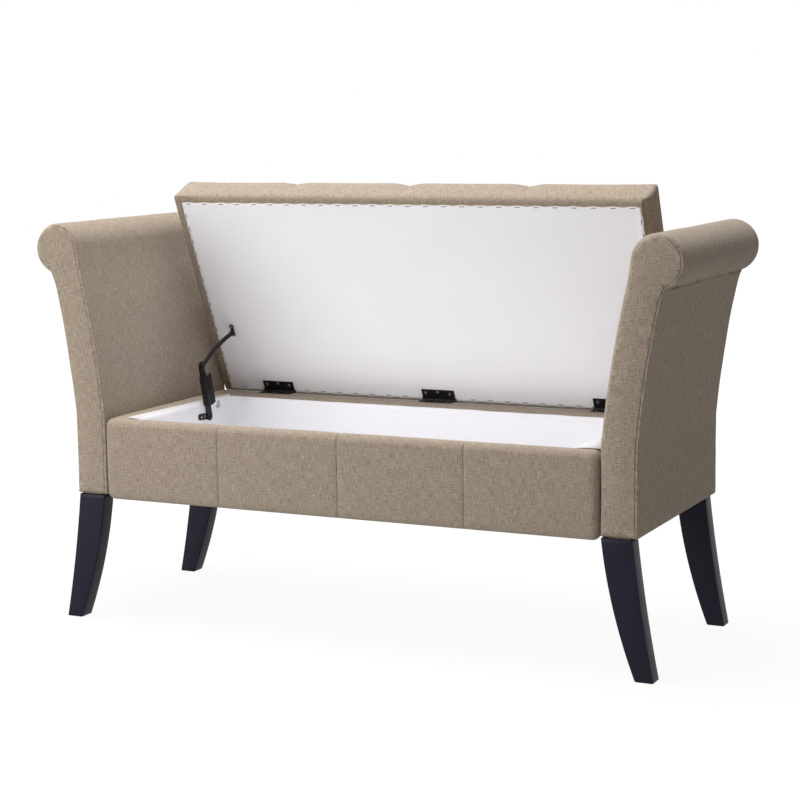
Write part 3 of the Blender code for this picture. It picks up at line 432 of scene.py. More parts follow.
def softness(side, index):
    """How softly the front edge is rounded at a point of the outline: 0 is tight with a seam, 1 soft without."""
    roll_end = SIDE_POINTS + ROLL_POINTS
    if index < SIDE_POINTS:
        outer = 0.0
    elif index < roll_end:
        outer = min(1.0, max(0.0, ((index - SIDE_POINTS) / (ROLL_POINTS - 1) - 0.28) / 0.16))
    elif index < roll_end + CREASE_POINTS + SIDE_POINTS:
        outer = 1.0
    else:
        outer = 0.5
    return outer if side == "left" else 1 - outer


def lengths_round(outline):
    """How far round an outline each of its points comes, and the whole way round at the end."""
    edge = np.array(outline)
    steps = np.linalg.norm(np.roll(edge, -1, axis=0) - edge, axis=1)
    return np.concatenate(([0.0], np.cumsum(steps)))


def close_ring(points, ring, outline, step, margin, new_place):
    """Faces that close a ring of points; the points added inside its outline get their places from new_place."""
    seen_from_above = [Vector(place) for place in outline + inside_outline(outline, step, margin)]
    places, _, nets, origins = delaunay_2d_cdt(seen_from_above, [], [list(range(len(ring)))], 1, 0.00001)[:4]
    numbers = []
    for place, origin in zip(places, origins):
        if origin and min(origin) < len(ring):
            numbers.append(ring[min(origin)])
        else:
            numbers.append(len(points))
            points.append(new_place(place.x, place.y))
    return [[numbers[index] for index in net] for net in nets]


def vertex_values(mesh, what):
    """The places ("co") or the normals ("normal") of a mesh's vertices, one row each."""
    values = np.empty(len(mesh.vertices) * 3)
    mesh.vertices.foreach_get(what, values)
    return values.reshape(-1, 3)


def push(mesh, amount):
    """Move each vertex along its normal by an amount that depends on its place."""
    places, normals = vertex_values(mesh, "co"), vertex_values(mesh, "normal")
    moves = np.array([amount(place, normal) for place, normal in zip(places, normals)])
    mesh.vertices.foreach_set("co", (places + normals * moves[:, None]).ravel())
    mesh.update()


def build_arm(side, sign):
    insets = [0.0, 0.0005, 0.001, 0.002, 0.0035, 0.005, 0.007, 0.009, 0.0115, 0.0145]
    levels = np.array([arm_outline(inset) for inset in insets])
    count = levels.shape[1]

    def inside(index, inset):
        """A point of the outline this far inside the arm's edge."""
        return [np.interp(inset, insets, levels[:, index, axis]) for axis in (0, 1)]

    def quarter(radius, steps):
        """A rounded edge as pairs of how far in from the side and how far back from the front."""
        turns = [math.pi / 2 * (1 - step / (steps - 1)) for step in range(steps)]
        return [(radius * (1 - math.cos(turn)), radius * (1 - math.sin(turn))) for turn in turns]

    seam = [(0.0110, -0.0005), (0.0086, -0.0005), (0.0068, -0.0001), (0.0057, 0.0006), (0.0052, 0.0021),
            (0.0047, 0.0014), (0.0040, 0.0012)]
    tight = seam + [(inset, depth + 0.0011) for inset, depth in quarter(0.0034, 6)]
    soft, back = quarter(0.0140, 13), quarter(0.0045, 6)

    points, faces, spots, rings = [], [], [], []

    def add_ring(places):
        """One more ring of points round the arm."""
        rings.append(range(len(points), len(points) + count))
        points.extend((sign * x, y, z) for x, y, z in places)

    # The front edge, from the seam of the facing out to the side.
    for near, far in zip(tight, soft):
        places = []
        for index in range(count):
            share = softness(side, index)
            inset, depth = [a + (b - a) * share for a, b in zip(near, far)]
            x, z = inside(index, inset)
            places.append((x, ARM_FRONT + depth, z))
        add_ring(places)

    # The sides, with the crease under the roll pinched in places, then the rear edge.
    starts = [points[corner][1] for corner in rings[-1]]
    finish = ARM_BACK - back[-1][1]
    lengthwise = 44
    for step in range(1, lengthwise + 1):
        ys = [start + (finish - start) * step / lengthwise for start in starts]
        pinch = 0.3
        if step < lengthwise:
            pinch = min(1.0, max(0.0, 3.2 * ripple((ys[0], 0.3, sign), 0.034) + 0.25))
        outline = arm_outline(0.0, 0.0012 + 0.0110 * pinch, 0.0008 + 0.0024 * pinch)
        add_ring([(x, y, z) for (x, z), y in zip(outline, ys)])
    for inset, depth in back[-2::-1] + [(0.0105, -0.0006)]:
        edge = [inside(index, inset) for index in range(count)]
        add_ring([(x, ARM_BACK - depth, z) for x, z in edge])

    lengths = lengths_round(arm_outline(0.0))
    for near, far in zip(rings[:-1], rings[1:]):
        for index in range(count):
            other = (index + 1) % count
            corners = [(near[index], index), (far[index], index),
                       (far[other], index + 1), (near[other], index + 1)]
            if sign > 0:
                corners.reverse()
            faces.append([corner for corner, _ in corners])
            spots += [(points[corner][1], lengths[place] + 2.0) for corner, place in corners]

    # The crowned facings of the front and the back.
    for ring, rim, outward in ((rings[0], ARM_FRONT, -1), (rings[-1], ARM_BACK, 1)):
        outline = [(points[corner][0] * sign, points[corner][2]) for corner in ring]
        edge = np.array(outline)

        def crowned(x, z):
            gap = outline_distance(edge, x, z)
            crown = 0.0006 + 0.0022 * (1 - math.exp(-gap / 0.014)) + 0.0003 * ripple((x, z, sign), 0.03)
            return sign * x, rim + outward * crown, z

        for corners in close_ring(points, ring, outline, step=0.008, margin=0.005, new_place=crowned):
            if outward * sign > 0:
                corners.reverse()
            faces.append(corners)
            spots += [(points[corner][0], points[corner][2]) for corner in corners]

    cover = add_piece(f"{side}_arm_linen", points, faces, linen, "bench", spots)

    def unevenness(place, normal):
        """Soft waves over the sides and gathers near the crease, none on the front, the back and the foot."""
        x, y, z = place
        if z < 0.252 or abs(normal[1]) > 0.8:
            return 0.0
        soft = 0.0007 * ripple((x, y * 0.8, z), 0.070, 3.1 * sign) + 0.0003 * ripple((x, y, z), 0.028, 1.0)
        below = math.hypot(abs(x) - 0.6135, z - 0.671)
        gathers = 0.0016 * math.exp(-((below / 0.022) ** 2)) * ripple((y, z * 0.35, sign), 0.019)
        return soft + gathers

    push(cover.data, unevenness)
    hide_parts(f"{side}_arm_cover")


for side, sign in (("left", -1), ("right", 1)):
    build_arm(side, sign)


# ----------------------------------------------------------------------
# Lid cushion: thick padding on a board, in a cover of four sewn panels with boxed sides. Its cloth is turned
# under and stapled, so that a narrow border shows round the white cloth below.

HINGE_LINE = Vector((0, 0.1935, 0.3962))
LID_OPEN = Matrix.Translation(HINGE_LINE) @ Matrix.Rotation(math.radians(-66), 4, "X")


def puff_up(piece, held, limit):
    """Inflate a piece under its cover with cloth simulation; held says how firmly each vertex stays."""
    group = piece.vertex_groups.new(name="held")
    for index, weight in enumerate(held):
        if weight > 0:
            group.add([index], weight, "REPLACE")
    before = vertex_values(piece.data, "co")
    cloth = piece.modifiers.new("padding", "CLOTH")
    settings = cloth.settings
    settings.vertex_group_mass = "held"
    settings.quality = 6
    settings.mass = 0.3
    settings.tension_stiffness = settings.compression_stiffness = 25
    settings.bending_stiffness = 2.0
    settings.air_damping = 4
    settings.use_pressure = True
    settings.uniform_pressure_force = 4
    settings.effector_weights.gravity = 0
    cloth.collision_settings.use_collision = False
    scene, frames = bpy.context.scene, 20
    for step in range(1, frames + 1):
        scene.frame_set(step)
    result = piece.evaluated_get(bpy.context.evaluated_depsgraph_get()).to_mesh()
    moves = vertex_values(result, "co") - before
    size = np.linalg.norm(moves, axis=1)
    moves *= (limit * np.tanh(size / limit) / np.maximum(size, 1e-9))[:, None]
    piece.modifiers.remove(cloth)
    piece.vertex_groups.remove(group)
    piece.data.vertices.foreach_set("co", (before + moves).ravel())
    piece.data.update()
    scene.frame_set(1)


def build_lid_cushion():
    panel, radius = 0.2465, 0.0125
    low, high = Vector((-0.4978, -0.4495, 0.0022)), Vector((0.4960, 0.0072, 0.0745))
    board_half, board_front, board_back = 0.4828, -0.4359, -0.0039
    board_sides = [-0.4829, -0.4827, 0.4827, 0.4829]
    xs = spread(low.x, high.x, radius, 0.008, seam_places(panel) + board_sides + [-0.4966, 0.4948])
    ys = spread(low.y, high.y, radius, 0.008, [-0.4483, -0.4360, -0.4358, -0.0040, -0.0038])
    zs = spread(low.z, high.z, radius, 0.007)

    # The rear and the left lower edges are square, the others round, and the right side slopes in below.
    soft, quads, spots = block(xs, ys, zs, radius, foot=2.0, corner=7.0)
    square = block(xs, ys, zs, radius, foot=7.0, corner=7.0)[0]
    share = np.clip(np.maximum(square[:, 1] - high.y + 0.060, low.x + 0.060 - square[:, 0]) / 0.040, 0, 1)
    points = soft + (square - soft) * share[:, None]
    slope = np.clip(1 - (points[:, 2] - low.z) / 0.020, 0, 1) ** 1.5 * (1 - share)
    slope_end, board_top = 0.4838, 0.0186
    side = points[:, 0] > slope_end
    points[side, 0] = np.maximum(points[side, 0] - 0.0110 * slope[side], slope_end)
    inside = (points[:, 2] < 0.0026) & (abs(points[:, 0]) < board_half)
    inside &= (points[:, 1] > board_front) & (points[:, 1] < board_back)
    points[inside, 2] = board_top

    # It is puffed up lying flat, off the lid, and turned open with the lid afterwards.
    cushion = add_piece("lid_cushion_linen", points, quads, linen, "lid", spots)
    cushion.parent = None
    cushion.matrix_world = Matrix.Identity(4)

    # The cover is held at the board and along the seams, and nearly so at its corners.
    held = []
    for (x, y, z), over_board in zip(points, inside):
        off = nearest_seam(x, panel)
        firm = 1.0 if over_board or z < 0.0135 else 0.0
        if abs(x) > 0.482 and (y < -0.434 or y > -0.007):
            firm = max(firm, 0.9 if abs(x) > 0.492 and y < -0.445 else 0.75)
        if z > 0.04 and off < 0.0012:
            firm = 1.0
        elif off < 0.0012:
            firm = max(firm, (z - 0.009) / 0.031)
        held.append(firm)
    puff_up(cushion, held, limit=0.0055)

    # The seams and their stitches draw the top and the two long sides in.
    mesh = cushion.data
    for vertex, over_board in zip(mesh.vertices, inside):
        if over_board:
            continue
        x, y, z = vertex.co
        up = min(1.0, max(0.0, (z - 0.014) / 0.045))
        drawn = sewn(x, panel, y + z)
        deep = (0.0035 if x < -0.12 else 0.0050) * math.exp(-((nearest_seam(x, panel) / 0.022) ** 2))
        vertex.co.z -= up ** 2 * (drawn + deep + 0.0006 * ripple((x, y, 2), 0.05))
        inward = up * (drawn * 0.6 + deep * 0.5)
        seam_off = math.hypot(low.x + 0.0013 - x if x < 0 else high.x - 0.0013 - x, y - low.y - 0.0013)
        if seam_off < 0.004:
            stitched = (0.0010 + 0.0007 * ripple((x, 0, z), 0.005)) * math.exp(-((seam_off / 0.0012) ** 2))
            vertex.co.x -= math.copysign(stitched, x)
            vertex.co.y += stitched
        if y < -0.438:
            vertex.co.y += inward
        elif y > -0.005:
            vertex.co.y -= inward
    mesh.transform(LID_OPEN)
    mesh.update()
    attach(cushion, "lid")
    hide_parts("lid_cushion")


build_lid_cushion()


# ----------------------------------------------------------------------
# White cloth under the lid: one thin sheet with its edges folded in, pulled flat over the board and held by
# a row of staples along each side, between which its edge gathers a little.

def white_fabric():
    """Thin white cloth with fine fibres and soft clouds, and painted shade that greys the flaps lying on the linen.
    """
    material, tree, shader = new_material("white cloth", {
        "Roughness": 0.82, "Specular IOR Level": 0.3, "Sheen Weight": 0.06})
    places = add_node(tree, "UVMap", uv_map="cloth").outputs[0]
    stretched = add_node(tree, "Mapping", {"Vector": places, "Scale": (1.0, 0.35, 1.0)}).outputs[0]
    fibres = cloudy(tree, stretched, 1400.0, 2.0)
    clouds = cloudy(tree, places, 9.0, 3.0)
    tone = maths(tree, "ADD", maths(tree, "MULTIPLY", fibres, 0.25), maths(tree, "MULTIPLY", clouds, 0.6))
    colour = mixed(tree, tone, (0.875, 0.865, 0.89, 1.0), (0.935, 0.93, 0.95, 1.0))
    # Painted shade: the flaps carry a mask that mixes their white a little towards black.
    over = add_node(tree, "Attribute", attribute_name="flap_painted_shade").outputs["Fac"]
    shown = mixed(tree, maths(tree, "MULTIPLY", over, 0.36), colour, (0.0, 0.0, 0.0, 1.0))
    height = maths(tree, "MULTIPLY_ADD", cloudy(tree, places, 60.0, 2.0), 0.8, fibres)
    set_surface(tree, shader, shown, height, strength=0.35, depth=0.0006)
    return material


white_cloth = white_fabric()


def solid_sheet(piece, thickness):
    """Give a sheet its thickness, behind the side that shows."""
    layer = piece.modifiers.new("cloth thickness", "SOLIDIFY")
    layer.thickness = thickness
    layer.offset = -1


HINGES = {"left": -0.364, "middle": 0.0, "right": 0.364}


def hinge_gap(x):
    """Distance across the lid to the nearest hinge's middle."""
    return min(abs(x - hinge) for hinge in HINGES.values())


def staple_places():
    """Staples along the cloth's edges as (x, y, runs along x), clear of the hinges."""
    front = [(-0.4655 + 0.03724 * index, -0.4322, True) for index in range(26)]
    back = [(-0.4470 + 0.03725 * index, -0.0048, True) for index in range(25)]
    ends = [(x, -0.405 + 0.0290 * index, False) for index in range(14) for x in (-0.4788, 0.4788)]
    return front + [staple for staple in back if hinge_gap(staple[0]) > 0.046] + ends


def sheet_places(low, high, columns, rows):
    """Places spread evenly over a sheet, row by row, each with its distance from the sheet's nearest edge."""
    for row in range(rows + 1):
        for column in range(columns + 1):
            x = low.x + (high.x - low.x) * column / columns
            y = low.y + (high.y - low.y) * row / rows
            yield x, y, min(x - low.x, high.x - x, y - low.y, high.y - y)


def sheet_quads(points, columns, rows):
    """The quads of a sheet laid out in rows, and their places on the cloth."""
    quads, spots = [], []
    for row in range(rows):
        for column in range(columns):
            first = row * (columns + 1) + column
            quads.append([first, first + columns + 1, first + columns + 2, first + 1])
            spots += [tuple(points[corner][:2]) for corner in quads[-1]]
    return quads, spots


def build_lid_cloth():
    staples = staple_places()
    low, high = Vector((-0.4825, -0.4355)), Vector((0.4832, 0.0014))
    columns, rows = 194, 88
    hem_width, gathered, board_foot = 0.011, 0.009, 0.0026
    points = []
    for x, y, edge in sheet_places(low, high, columns, rows):
        free = min(1.0, max(0.0, (hinge_gap(x) - 0.036) / 0.012)) if y > -0.040 else 1.0
        hem = 0.0010 * max(0.0, 1 - max(0.0, edge - hem_width) / 0.003)
        pull = min(math.hypot(x - sx, y - sy) for sx, sy, _ in staples)
        loose = 1 - math.exp(-((pull / 0.011) ** 2))
        band = math.exp(-((edge / 0.030) ** 2))
        folds = band * (0.0010 * ripple((x, y, 5), 0.017) + 0.0005)
        slack = 0.0004 * ripple((x, y * 0.6, 0), 0.11)
        point = [x, y, board_foot - free * (hem + loose * max(0.0, folds) + max(0.0, slack))]
        scallop = 0.0023 * loose * free
        for axis, turn, gap in ((0, 1, x - low.x), (0, -1, high.x - x), (1, 1, y - low.y), (1, -1, high.y - y)):
            point[axis] += turn * scallop * max(0.0, 1 - gap / gathered)
        points.append(point)
    faces, spots = sheet_quads(points, columns, rows)
    points = [LID_OPEN @ Vector(point) for point in points]
    cloth = add_piece("lid_white_cloth", points, faces, white_cloth, "lid", spots)
    solid_sheet(cloth, 0.0006)
    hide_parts("lid_undercloth")
    return cloth, staples


def metal_finish(name, colour, roughness, metallic, grain, wear, specular=0.5):
    """Metal with fine grain and slightly uneven gloss."""
    material, tree, shader = new_material(name, {"Metallic": metallic, "Specular IOR Level": specular})
    spot = add_node(tree, "TexCoord").outputs["Object"]
    fine = cloudy(tree, spot, grain, 3.0)
    soft = cloudy(tree, spot, grain * 0.06, 2.0)
    tone = maths(tree, "ADD", maths(tree, "MULTIPLY", fine, 0.5), maths(tree, "MULTIPLY", soft, 0.5))
    darker = tuple(value * (1 - wear) for value in colour)
    lighter = tuple(min(1.0, value * (1 + wear)) for value in colour)
    tree.links.new(maths(tree, "MULTIPLY_ADD", soft, 0.16, roughness - 0.08), shader.inputs["Roughness"])
    shown = mixed(tree, tone, (*darker, 1.0), (*lighter, 1.0))
    set_surface(tree, shader, shown, fine, strength=0.12, depth=0.0002)
    return material


staple_steel = metal_finish("staple wire", (0.17, 0.17, 0.19), roughness=0.42, metallic=0.9, grain=900.0, wear=0.2)


def build_staples(places):
    """Flat wire crowns, each with its two legs going in."""
    points, faces = [], []
    route = [(-0.0048, 0.0060), (-0.0048, 0.0018), (-0.0045, 0.0008), (-0.0036, 0.0004), (0.0036, 0.0004),
             (0.0045, 0.0008), (0.0048, 0.0018), (0.0048, 0.0060)]
    half_width, half_height, last = 0.0006, 0.0004, len(route) - 1
    for x, y, level in places:
        turn = 0.0 if level else math.pi / 2
        turn += 0.16 * ripple((x, y, 7), 0.013)
        ahead = Vector((math.cos(turn), math.sin(turn), 0))
        side = Vector((-ahead.y, ahead.x, 0)) * half_width
        start = len(points)
        for index, (run, height) in enumerate(route):
            before, later = Vector(route[max(index - 1, 0)]), Vector(route[min(index + 1, last)])
            across = (later - before).normalized()
            out = Vector((ahead.x * across.y, ahead.y * across.y, -across.x)) * half_height
            middle = Vector((x, y, 0.0002)) + ahead * run + Vector((0, 0, height - 0.0002))
            points += [middle + side - out, middle + side + out, middle - side + out, middle - side - out]
        for ring in range(start, start + 4 * last, 4):
            for first, second in ((0, 1), (1, 2), (2, 3), (3, 0)):
                faces.append([ring + first, ring + second, ring + second + 4, ring + first + 4])
        faces.append([start + 3, start + 2, start + 1, start])
        faces.append([start + 4 * last + offset for offset in range(4)])
    points = [LID_OPEN @ Vector(point) for point in points]
    return add_piece("lid_cloth_staples", points, faces, staple_steel, "lid")


lid_cloth, staples = build_lid_cloth()
wire = build_staples(staples)


# ----------------------------------------------------------------------
# Box lining: one cut of the same white cloth, folded into the box and stapled below the rim. It lies against
# the boards, with soft corners and a few shallow creases.

def build_lining():
    half, front, back, floor, rim = 0.4437, -0.2197, 0.1297, 0.2572, 0.3908
    rise = rim - floor
    corner = 0.006

    def around():
        """The wall's line seen from above, with rounded corners."""
        line = []
        corners = ((half, front, -90), (half, back, 0), (-half, back, 90), (-half, front, 180))
        for (x, y, turn), (next_x, next_y, _) in zip(corners, corners[1:] + corners[:1]):
            centre_x, centre_y = x - math.copysign(corner, x), y + (corner if y == front else -corner)
            line += arc(centre_x, centre_y, corner, [turn + 22.5 * step for step in range(5)])
            length = math.hypot(next_x - x, next_y - y) - 2 * corner
            count = round(length / 0.011)
            away = Vector((next_x - x, next_y - y)).normalized()
            here = Vector(line[-1])
            for step in range(1, count):
                line.append(tuple(here + away * length * step / count))
        return line

    line = around()
    depths = [0.0, 0.004, 0.0095, 0.0115, 0.018, 0.028, 0.040, 0.058, 0.076, 0.094, 0.110,
              rise - 0.008, rise - 0.004, rise - 0.0012]
    points, faces, spots = [], [], []
    count = len(line)
    middle = (front + back) / 2

    # The walls: a hem at the rim, shallow waves, and a rounded foot.
    for depth in depths:
        tuck = 0.0
        if depth > rise - 0.004:
            tuck = 0.004 - math.sqrt(max(0.0, 0.004 ** 2 - max(0.0, depth - rise + 0.004) ** 2))
        for x, y in line:
            wave = 0.0005 * ripple((x, y, depth * 0.35), 0.045) + 0.0004 * ripple((x, y, depth * 0.2), 0.020)
            wave = max(wave, -0.0002)
            at_end, at_side = abs(x) > half - 0.007, min(abs(y - front), abs(y - back)) < 0.007
            inward = Vector((-x if at_end else 0, middle - y if at_side else 0)).normalized()
            top = 0.0010 * ripple((x, y, 3), 0.05) if depth == 0 else 0.0
            hem = 0.0009 if depth < 0.010 else 0.0
            off = wave + tuck + hem
            points.append((x + inward.x * off, y + inward.y * off, rim - depth + top))
    lengths = lengths_round(line)
    for row in range(len(depths) - 1):
        for index in range(count):
            other = (index + 1) % count
            corners = [(row + 1, index, index), (row + 1, other, index + 1),
                       (row, other, index + 1), (row, index, index)]
            faces.append([part * count + place for part, place, _ in corners])
            spots += [(lengths[run], -depths[part]) for part, _, run in corners]

    # Near the front, the cloth's edge is laid over the side rails.
    flaps = len(points)
    for sign, reach, run in ((-1, 0.0205, 0.340), (1, 0.0535, 0.165)):
        edge = [index for index in range(count) if line[index][0] * sign > half - 0.0001]
        above = edge
        for share, height in ((0.12, 0.3936), (0.5, 0.3950), (1.0, 0.3949)):
            here = []
            for index in edge:
                x, y = line[index]
                over = reach * min(1.0, max(0.0, (front + run - y) / run)) * share + 0.0004
                near = min(1.0, max(0.0, (front + 0.012 - y) / 0.006))
                here.append(len(points))
                points.append((x + sign * over, y - 0.0095 * near,
                               height - 0.0006 * near + 0.0003 * ripple((x, y, share), 0.03)))
            for first in range(len(edge) - 1):
                corners = [above[first], above[first + 1], here[first + 1], here[first]]
                faces.append(corners)
                spots += [(points[corner][1], points[corner][0]) for corner in corners]
            above = here
    flaps_end = len(points)

    last = (len(depths) - 1) * count
    outline = [(points[last + index][0], points[last + index][1]) for index in range(count)]

    def on_floor(x, y):
        swell = 0.0007 * ripple((x, y, 0), 0.12) + 0.0003 * ripple((x, y, 4), 0.04)
        return x, y, floor + max(0.0, swell)

    ring = range(last, last + count)
    for corners in close_ring(points, ring, outline, step=0.014, margin=0.008, new_place=on_floor):
        faces.append(corners)
        spots += [(points[corner][0], points[corner][1]) for corner in corners]
    lining = add_piece("box_white_lining", points, faces, white_cloth, "bench", spots)
    # Painted shade: the flaps' points get a mask of 1, which greys their white in the cloth material.
    over = [1.0 if flaps <= index < flaps_end else 0.0 for index in range(len(points))]
    lining.data.attributes.new("flap_painted_shade", "FLOAT", "POINT").data.foreach_set("value", over)
    solid_sheet(lining, 0.0012)
    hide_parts("box_lining")


build_lining()


# ----------------------------------------------------------------------
# Dust cover: thin black non-woven cloth, pressed with a fine dot pattern. It is stapled flat under the box
# and sags a little between its edges.

def black_fleece():
    """Black non-woven cloth with pressed dots and fibres."""
    material, tree, shader = new_material("black dust cloth", {"Roughness": 0.9})
    places = add_node(tree, "UVMap", uv_map="cloth").outputs[0]
    fibres = cloudy(tree, places, 500.0, 4.0)
    dots = add_node(tree, "TexVoronoi", {"Vector": places, "Scale": 420.0}).outputs["Distance"]
    colour = mixed(tree, fibres, (0.010, 0.010, 0.011, 1.0), (0.034, 0.034, 0.037, 1.0))
    set_surface(tree, shader, colour, maths(tree, "ADD", fibres, dots), strength=0.5, depth=0.0004)
    return material


def build_dust_cover():
    low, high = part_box("dust_cover")
    columns, rows = 100, 42
    points = []
    for x, y, edge in sheet_places(low, high, columns, rows):
        sag = min(1.0, edge / 0.08) * (0.0012 + 0.0010 * ripple((x, y, 0), 0.14))
        points.append((x, y, high.z - 0.0001 - max(0.0, sag)))
    faces, spots = sheet_quads(points, columns, rows)
    cover = add_piece("dust_cover_cloth", points, faces, black_fleece(), "bench", spots)
    solid_sheet(cover, 0.0006)
    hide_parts("dust_cover")


build_dust_cover()


# ----------------------------------------------------------------------
# Boards and arm frames: bare plywood, cut square and screwed together. They are hidden under the padding and
# the linings, so the CAD shapes stay and only get their finish.

def bare_plywood():
    """Pale plywood with long grain and thin plies on its edges."""
    material, tree, shader = new_material("bare plywood", {"Roughness": 0.7})
    spot = add_node(tree, "TexCoord").outputs["Object"]
    grain_place = add_node(tree, "Mapping", {"Vector": spot, "Scale": (6.0, 90.0, 90.0)}).outputs[0]
    grain = cloudy(tree, grain_place, 1.0, 5.0)
    waves = {"Vector": spot, "Scale": 90.0, "Distortion": 0.6}
    plies = add_node(tree, "TexWave", waves, bands_direction="Z").outputs[1]
    tone = maths(tree, "ADD", maths(tree, "MULTIPLY", grain, 0.75), maths(tree, "MULTIPLY", plies, 0.25))
    colour = mixed(tree, tone, (0.38, 0.25, 0.14, 1.0), (0.70, 0.54, 0.36, 1.0))
    set_surface(tree, shader, colour, grain, strength=0.25, depth=0.0004)
    return material


def refinish(names, material, edge=0.0):
    """Give CAD nodes their real finish, and softened edges where asked."""
    for name in names:
        node = nodes[name]
        node.data.materials.clear()
        node.data.materials.append(material)
        if edge:
            soften = node.modifiers.new("soft edges", "BEVEL")
            soften.width = edge
            soften.segments = 2
            soften.limit_method = "ANGLE"
            soften.angle_limit = math.radians(40)
            soften.harden_normals = False


refinish(["front_rail_board", "bottom_panel", "left_arm_frame", "right_arm_frame", "lid_board"], bare_plywood())


# ----------------------------------------------------------------------
# Legs: four sabre legs of solid wood, square in section, tapering and sweeping outwards, each bolted up into
# its arm. Black satin lacquer lies thinly over a faint grain.

def black_lacquer():
    """Blue-black satin lacquer over wood grain."""
    material, tree, shader = new_material("black lacquered wood", {"Specular IOR Level": 0.16})
    spot = add_node(tree, "TexCoord").outputs["Object"]
    grain_place = add_node(tree, "Mapping", {"Vector": spot, "Scale": (260.0, 260.0, 9.0)}).outputs[0]
    grain = cloudy(tree, grain_place, 1.0, 4.0)
    clouds = cloudy(tree, spot, 26.0, 2.0)
    tone = maths(tree, "MULTIPLY_ADD", grain, 0.7, 0.1)
    colour = mixed(tree, tone, (0.0045, 0.0042, 0.0108, 1.0), (0.012, 0.011, 0.027, 1.0))
    tree.links.new(maths(tree, "MULTIPLY_ADD", clouds, 0.14, 0.38), shader.inputs["Roughness"])
    set_surface(tree, shader, colour, grain, strength=0.18, depth=0.0004)
    return material


lacquer = black_lacquer()


def tube(rows, count):
    """Faces of a closed tube whose points come row by row, with its first and last row as ends."""
    faces = []
    for row in range(rows - 1):
        for index in range(count):
            other = (index + 1) % count
            faces.append([row * count + index, row * count + other, (row + 1) * count + other,
                          (row + 1) * count + index])
    last = (rows - 1) * count
    return faces + [list(range(count))[::-1], [last + index for index in range(count)]]


def build_leg(name, front, sign):
    """A leg in level slices, each a rectangle with rounded corners."""
    top, thickness, inset = 0.2461, 0.033, 0.0024

    def edge(start, run, height):
        """Where a side of the leg is at a height: it leans out a little at the top and by this run at the foot."""
        fall = (top - height) / top
        lean = 0.11 * top
        return start + lean * fall + (run - lean) * fall ** 2

    slices = 30
    heights = [top * (1 - step / slices) for step in range(1, slices)]
    heights = [top, top - 0.0008] + heights + [0.0016, 0.0004, 0.0]
    shrinks = [0.0008, 0.0] + [0.0] * (slices - 1) + [0.0, 0.0006, 0.0014]
    points = []
    for height, shrink in zip(heights, shrinks):
        inner = edge(0.504, 0.062, height) + shrink
        outer = edge(0.561, 0.0387, height) - shrink
        near, far = front + shrink, front + thickness - shrink
        for x, y, turn in ((outer, far, 0), (inner, far, 90), (inner, near, 180), (outer, near, 270)):
            centre_x = x + (inset if x == inner else -inset)
            centre_y = y + (inset if y == near else -inset)
            rounded = arc(centre_x, centre_y, inset, [turn + 22.5 * step for step in range(5)])
            points += [(sign * x, y, height) for x, y in rounded]
    faces = tube(len(heights), len(points) // len(heights))
    if sign > 0:
        faces = [face[::-1] for face in faces]
    leg = add_piece(f"{name}_lacquered", points, faces, lacquer, "bench")
    leg.data.set_sharp_from_angle(angle=math.radians(50))
    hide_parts(name)


for side, sign in (("left", -1), ("right", 1)):
    build_leg(f"front_{side}_leg", ARM_FRONT - 0.002, sign)
    build_leg(f"rear_{side}_leg", 0.1641, sign)


# ----------------------------------------------------------------------
# Hinges: three butt hinges of black coated steel, each with two leaves on one pin, and the folding lid stay
# of the same steel: a plate on the box wall, a lower arm with a channel, a bowed upper arm and a lid plate.

black_coating = metal_finish("black coated steel", (0.010, 0.0085, 0.011), roughness=0.42, metallic=0.0,
                             grain=700.0, wear=0.35, specular=0.22)

for side in HINGES:
    refinish([f"{side}_hinge_rail_leaf", f"{side}_hinge_lid_leaf"], black_coating, edge=0.0003)
    refinish([f"{side}_hinge_pin"], black_coating, edge=0.0002)
refinish(["stay_wall_plate", "stay_lower_arm", "stay_upper_arm", "stay_lid_plate"], black_coating, edge=0.0004)


# ----------------------------------------------------------------------
# Screws and bolts: countersunk wood screws with crossed slots in the hinges and the stay, and zinc plated
# bolts with domed heads that hold the arms to the box and the legs to the arms.

screw_steel = metal_finish("brownish screw steel", (0.34, 0.29, 0.24), roughness=0.36, metallic=1.0,
                           grain=1200.0, wear=0.25)
zinc_plate = metal_finish("zinc plate", (0.36, 0.43, 0.50), roughness=0.30, metallic=1.0, grain=900.0, wear=0.12)


def turned(name, profile, place, material, body, slot_reach, slot_half, slot_depth):
    """A turned piece from its tip up to its face, which has a crossed slot, along the Z axis of a place."""
    sides = 32
    points = []
    for radius, height in profile:
        for index in range(sides):
            angle = 2 * math.pi * index / sides
            x, y = radius * math.cos(angle), radius * math.sin(angle)
            short, long = sorted((abs(x), abs(y)))
            in_slot = height > profile[-1][1] - 0.0006 and long < slot_reach and short < slot_half
            points.append(place @ Vector((x, y, height - (slot_depth if in_slot else 0.0))))
    piece = add_piece(name, points, tube(len(profile), sides), material, body)
    piece.data.set_sharp_from_angle(angle=math.radians(40))
    return piece


def upright_to(direction):
    """The turn that points a piece's Z axis along a direction."""
    return Vector(direction).to_track_quat("Z", "Y").to_matrix().to_4x4()


def screw_profile():
    """Tip, threads, cone and face of a wood screw, with its face at height 0."""
    profile = [(0.0002, -0.0130), (0.0008, -0.0122)]
    for step in range(9):
        height = -0.0115 + 0.0011 * step
        root = min(0.0014, 0.0010 + 0.00008 * step)
        profile += [(root, height), (root + 0.0004, height + 0.0004), (root, height + 0.0008)]
    profile += [(0.0015, -0.0016), (0.0032, -0.0002), (0.0033, -0.0001), (0.0032, 0.0)]
    return profile + [(radius, 0.00012) for radius in (0.0028, 0.0024, 0.0020, 0.0017, 0.0014, 0.0011, 0.0008,
                                                       0.00055, 0.0004, 0.0002)]


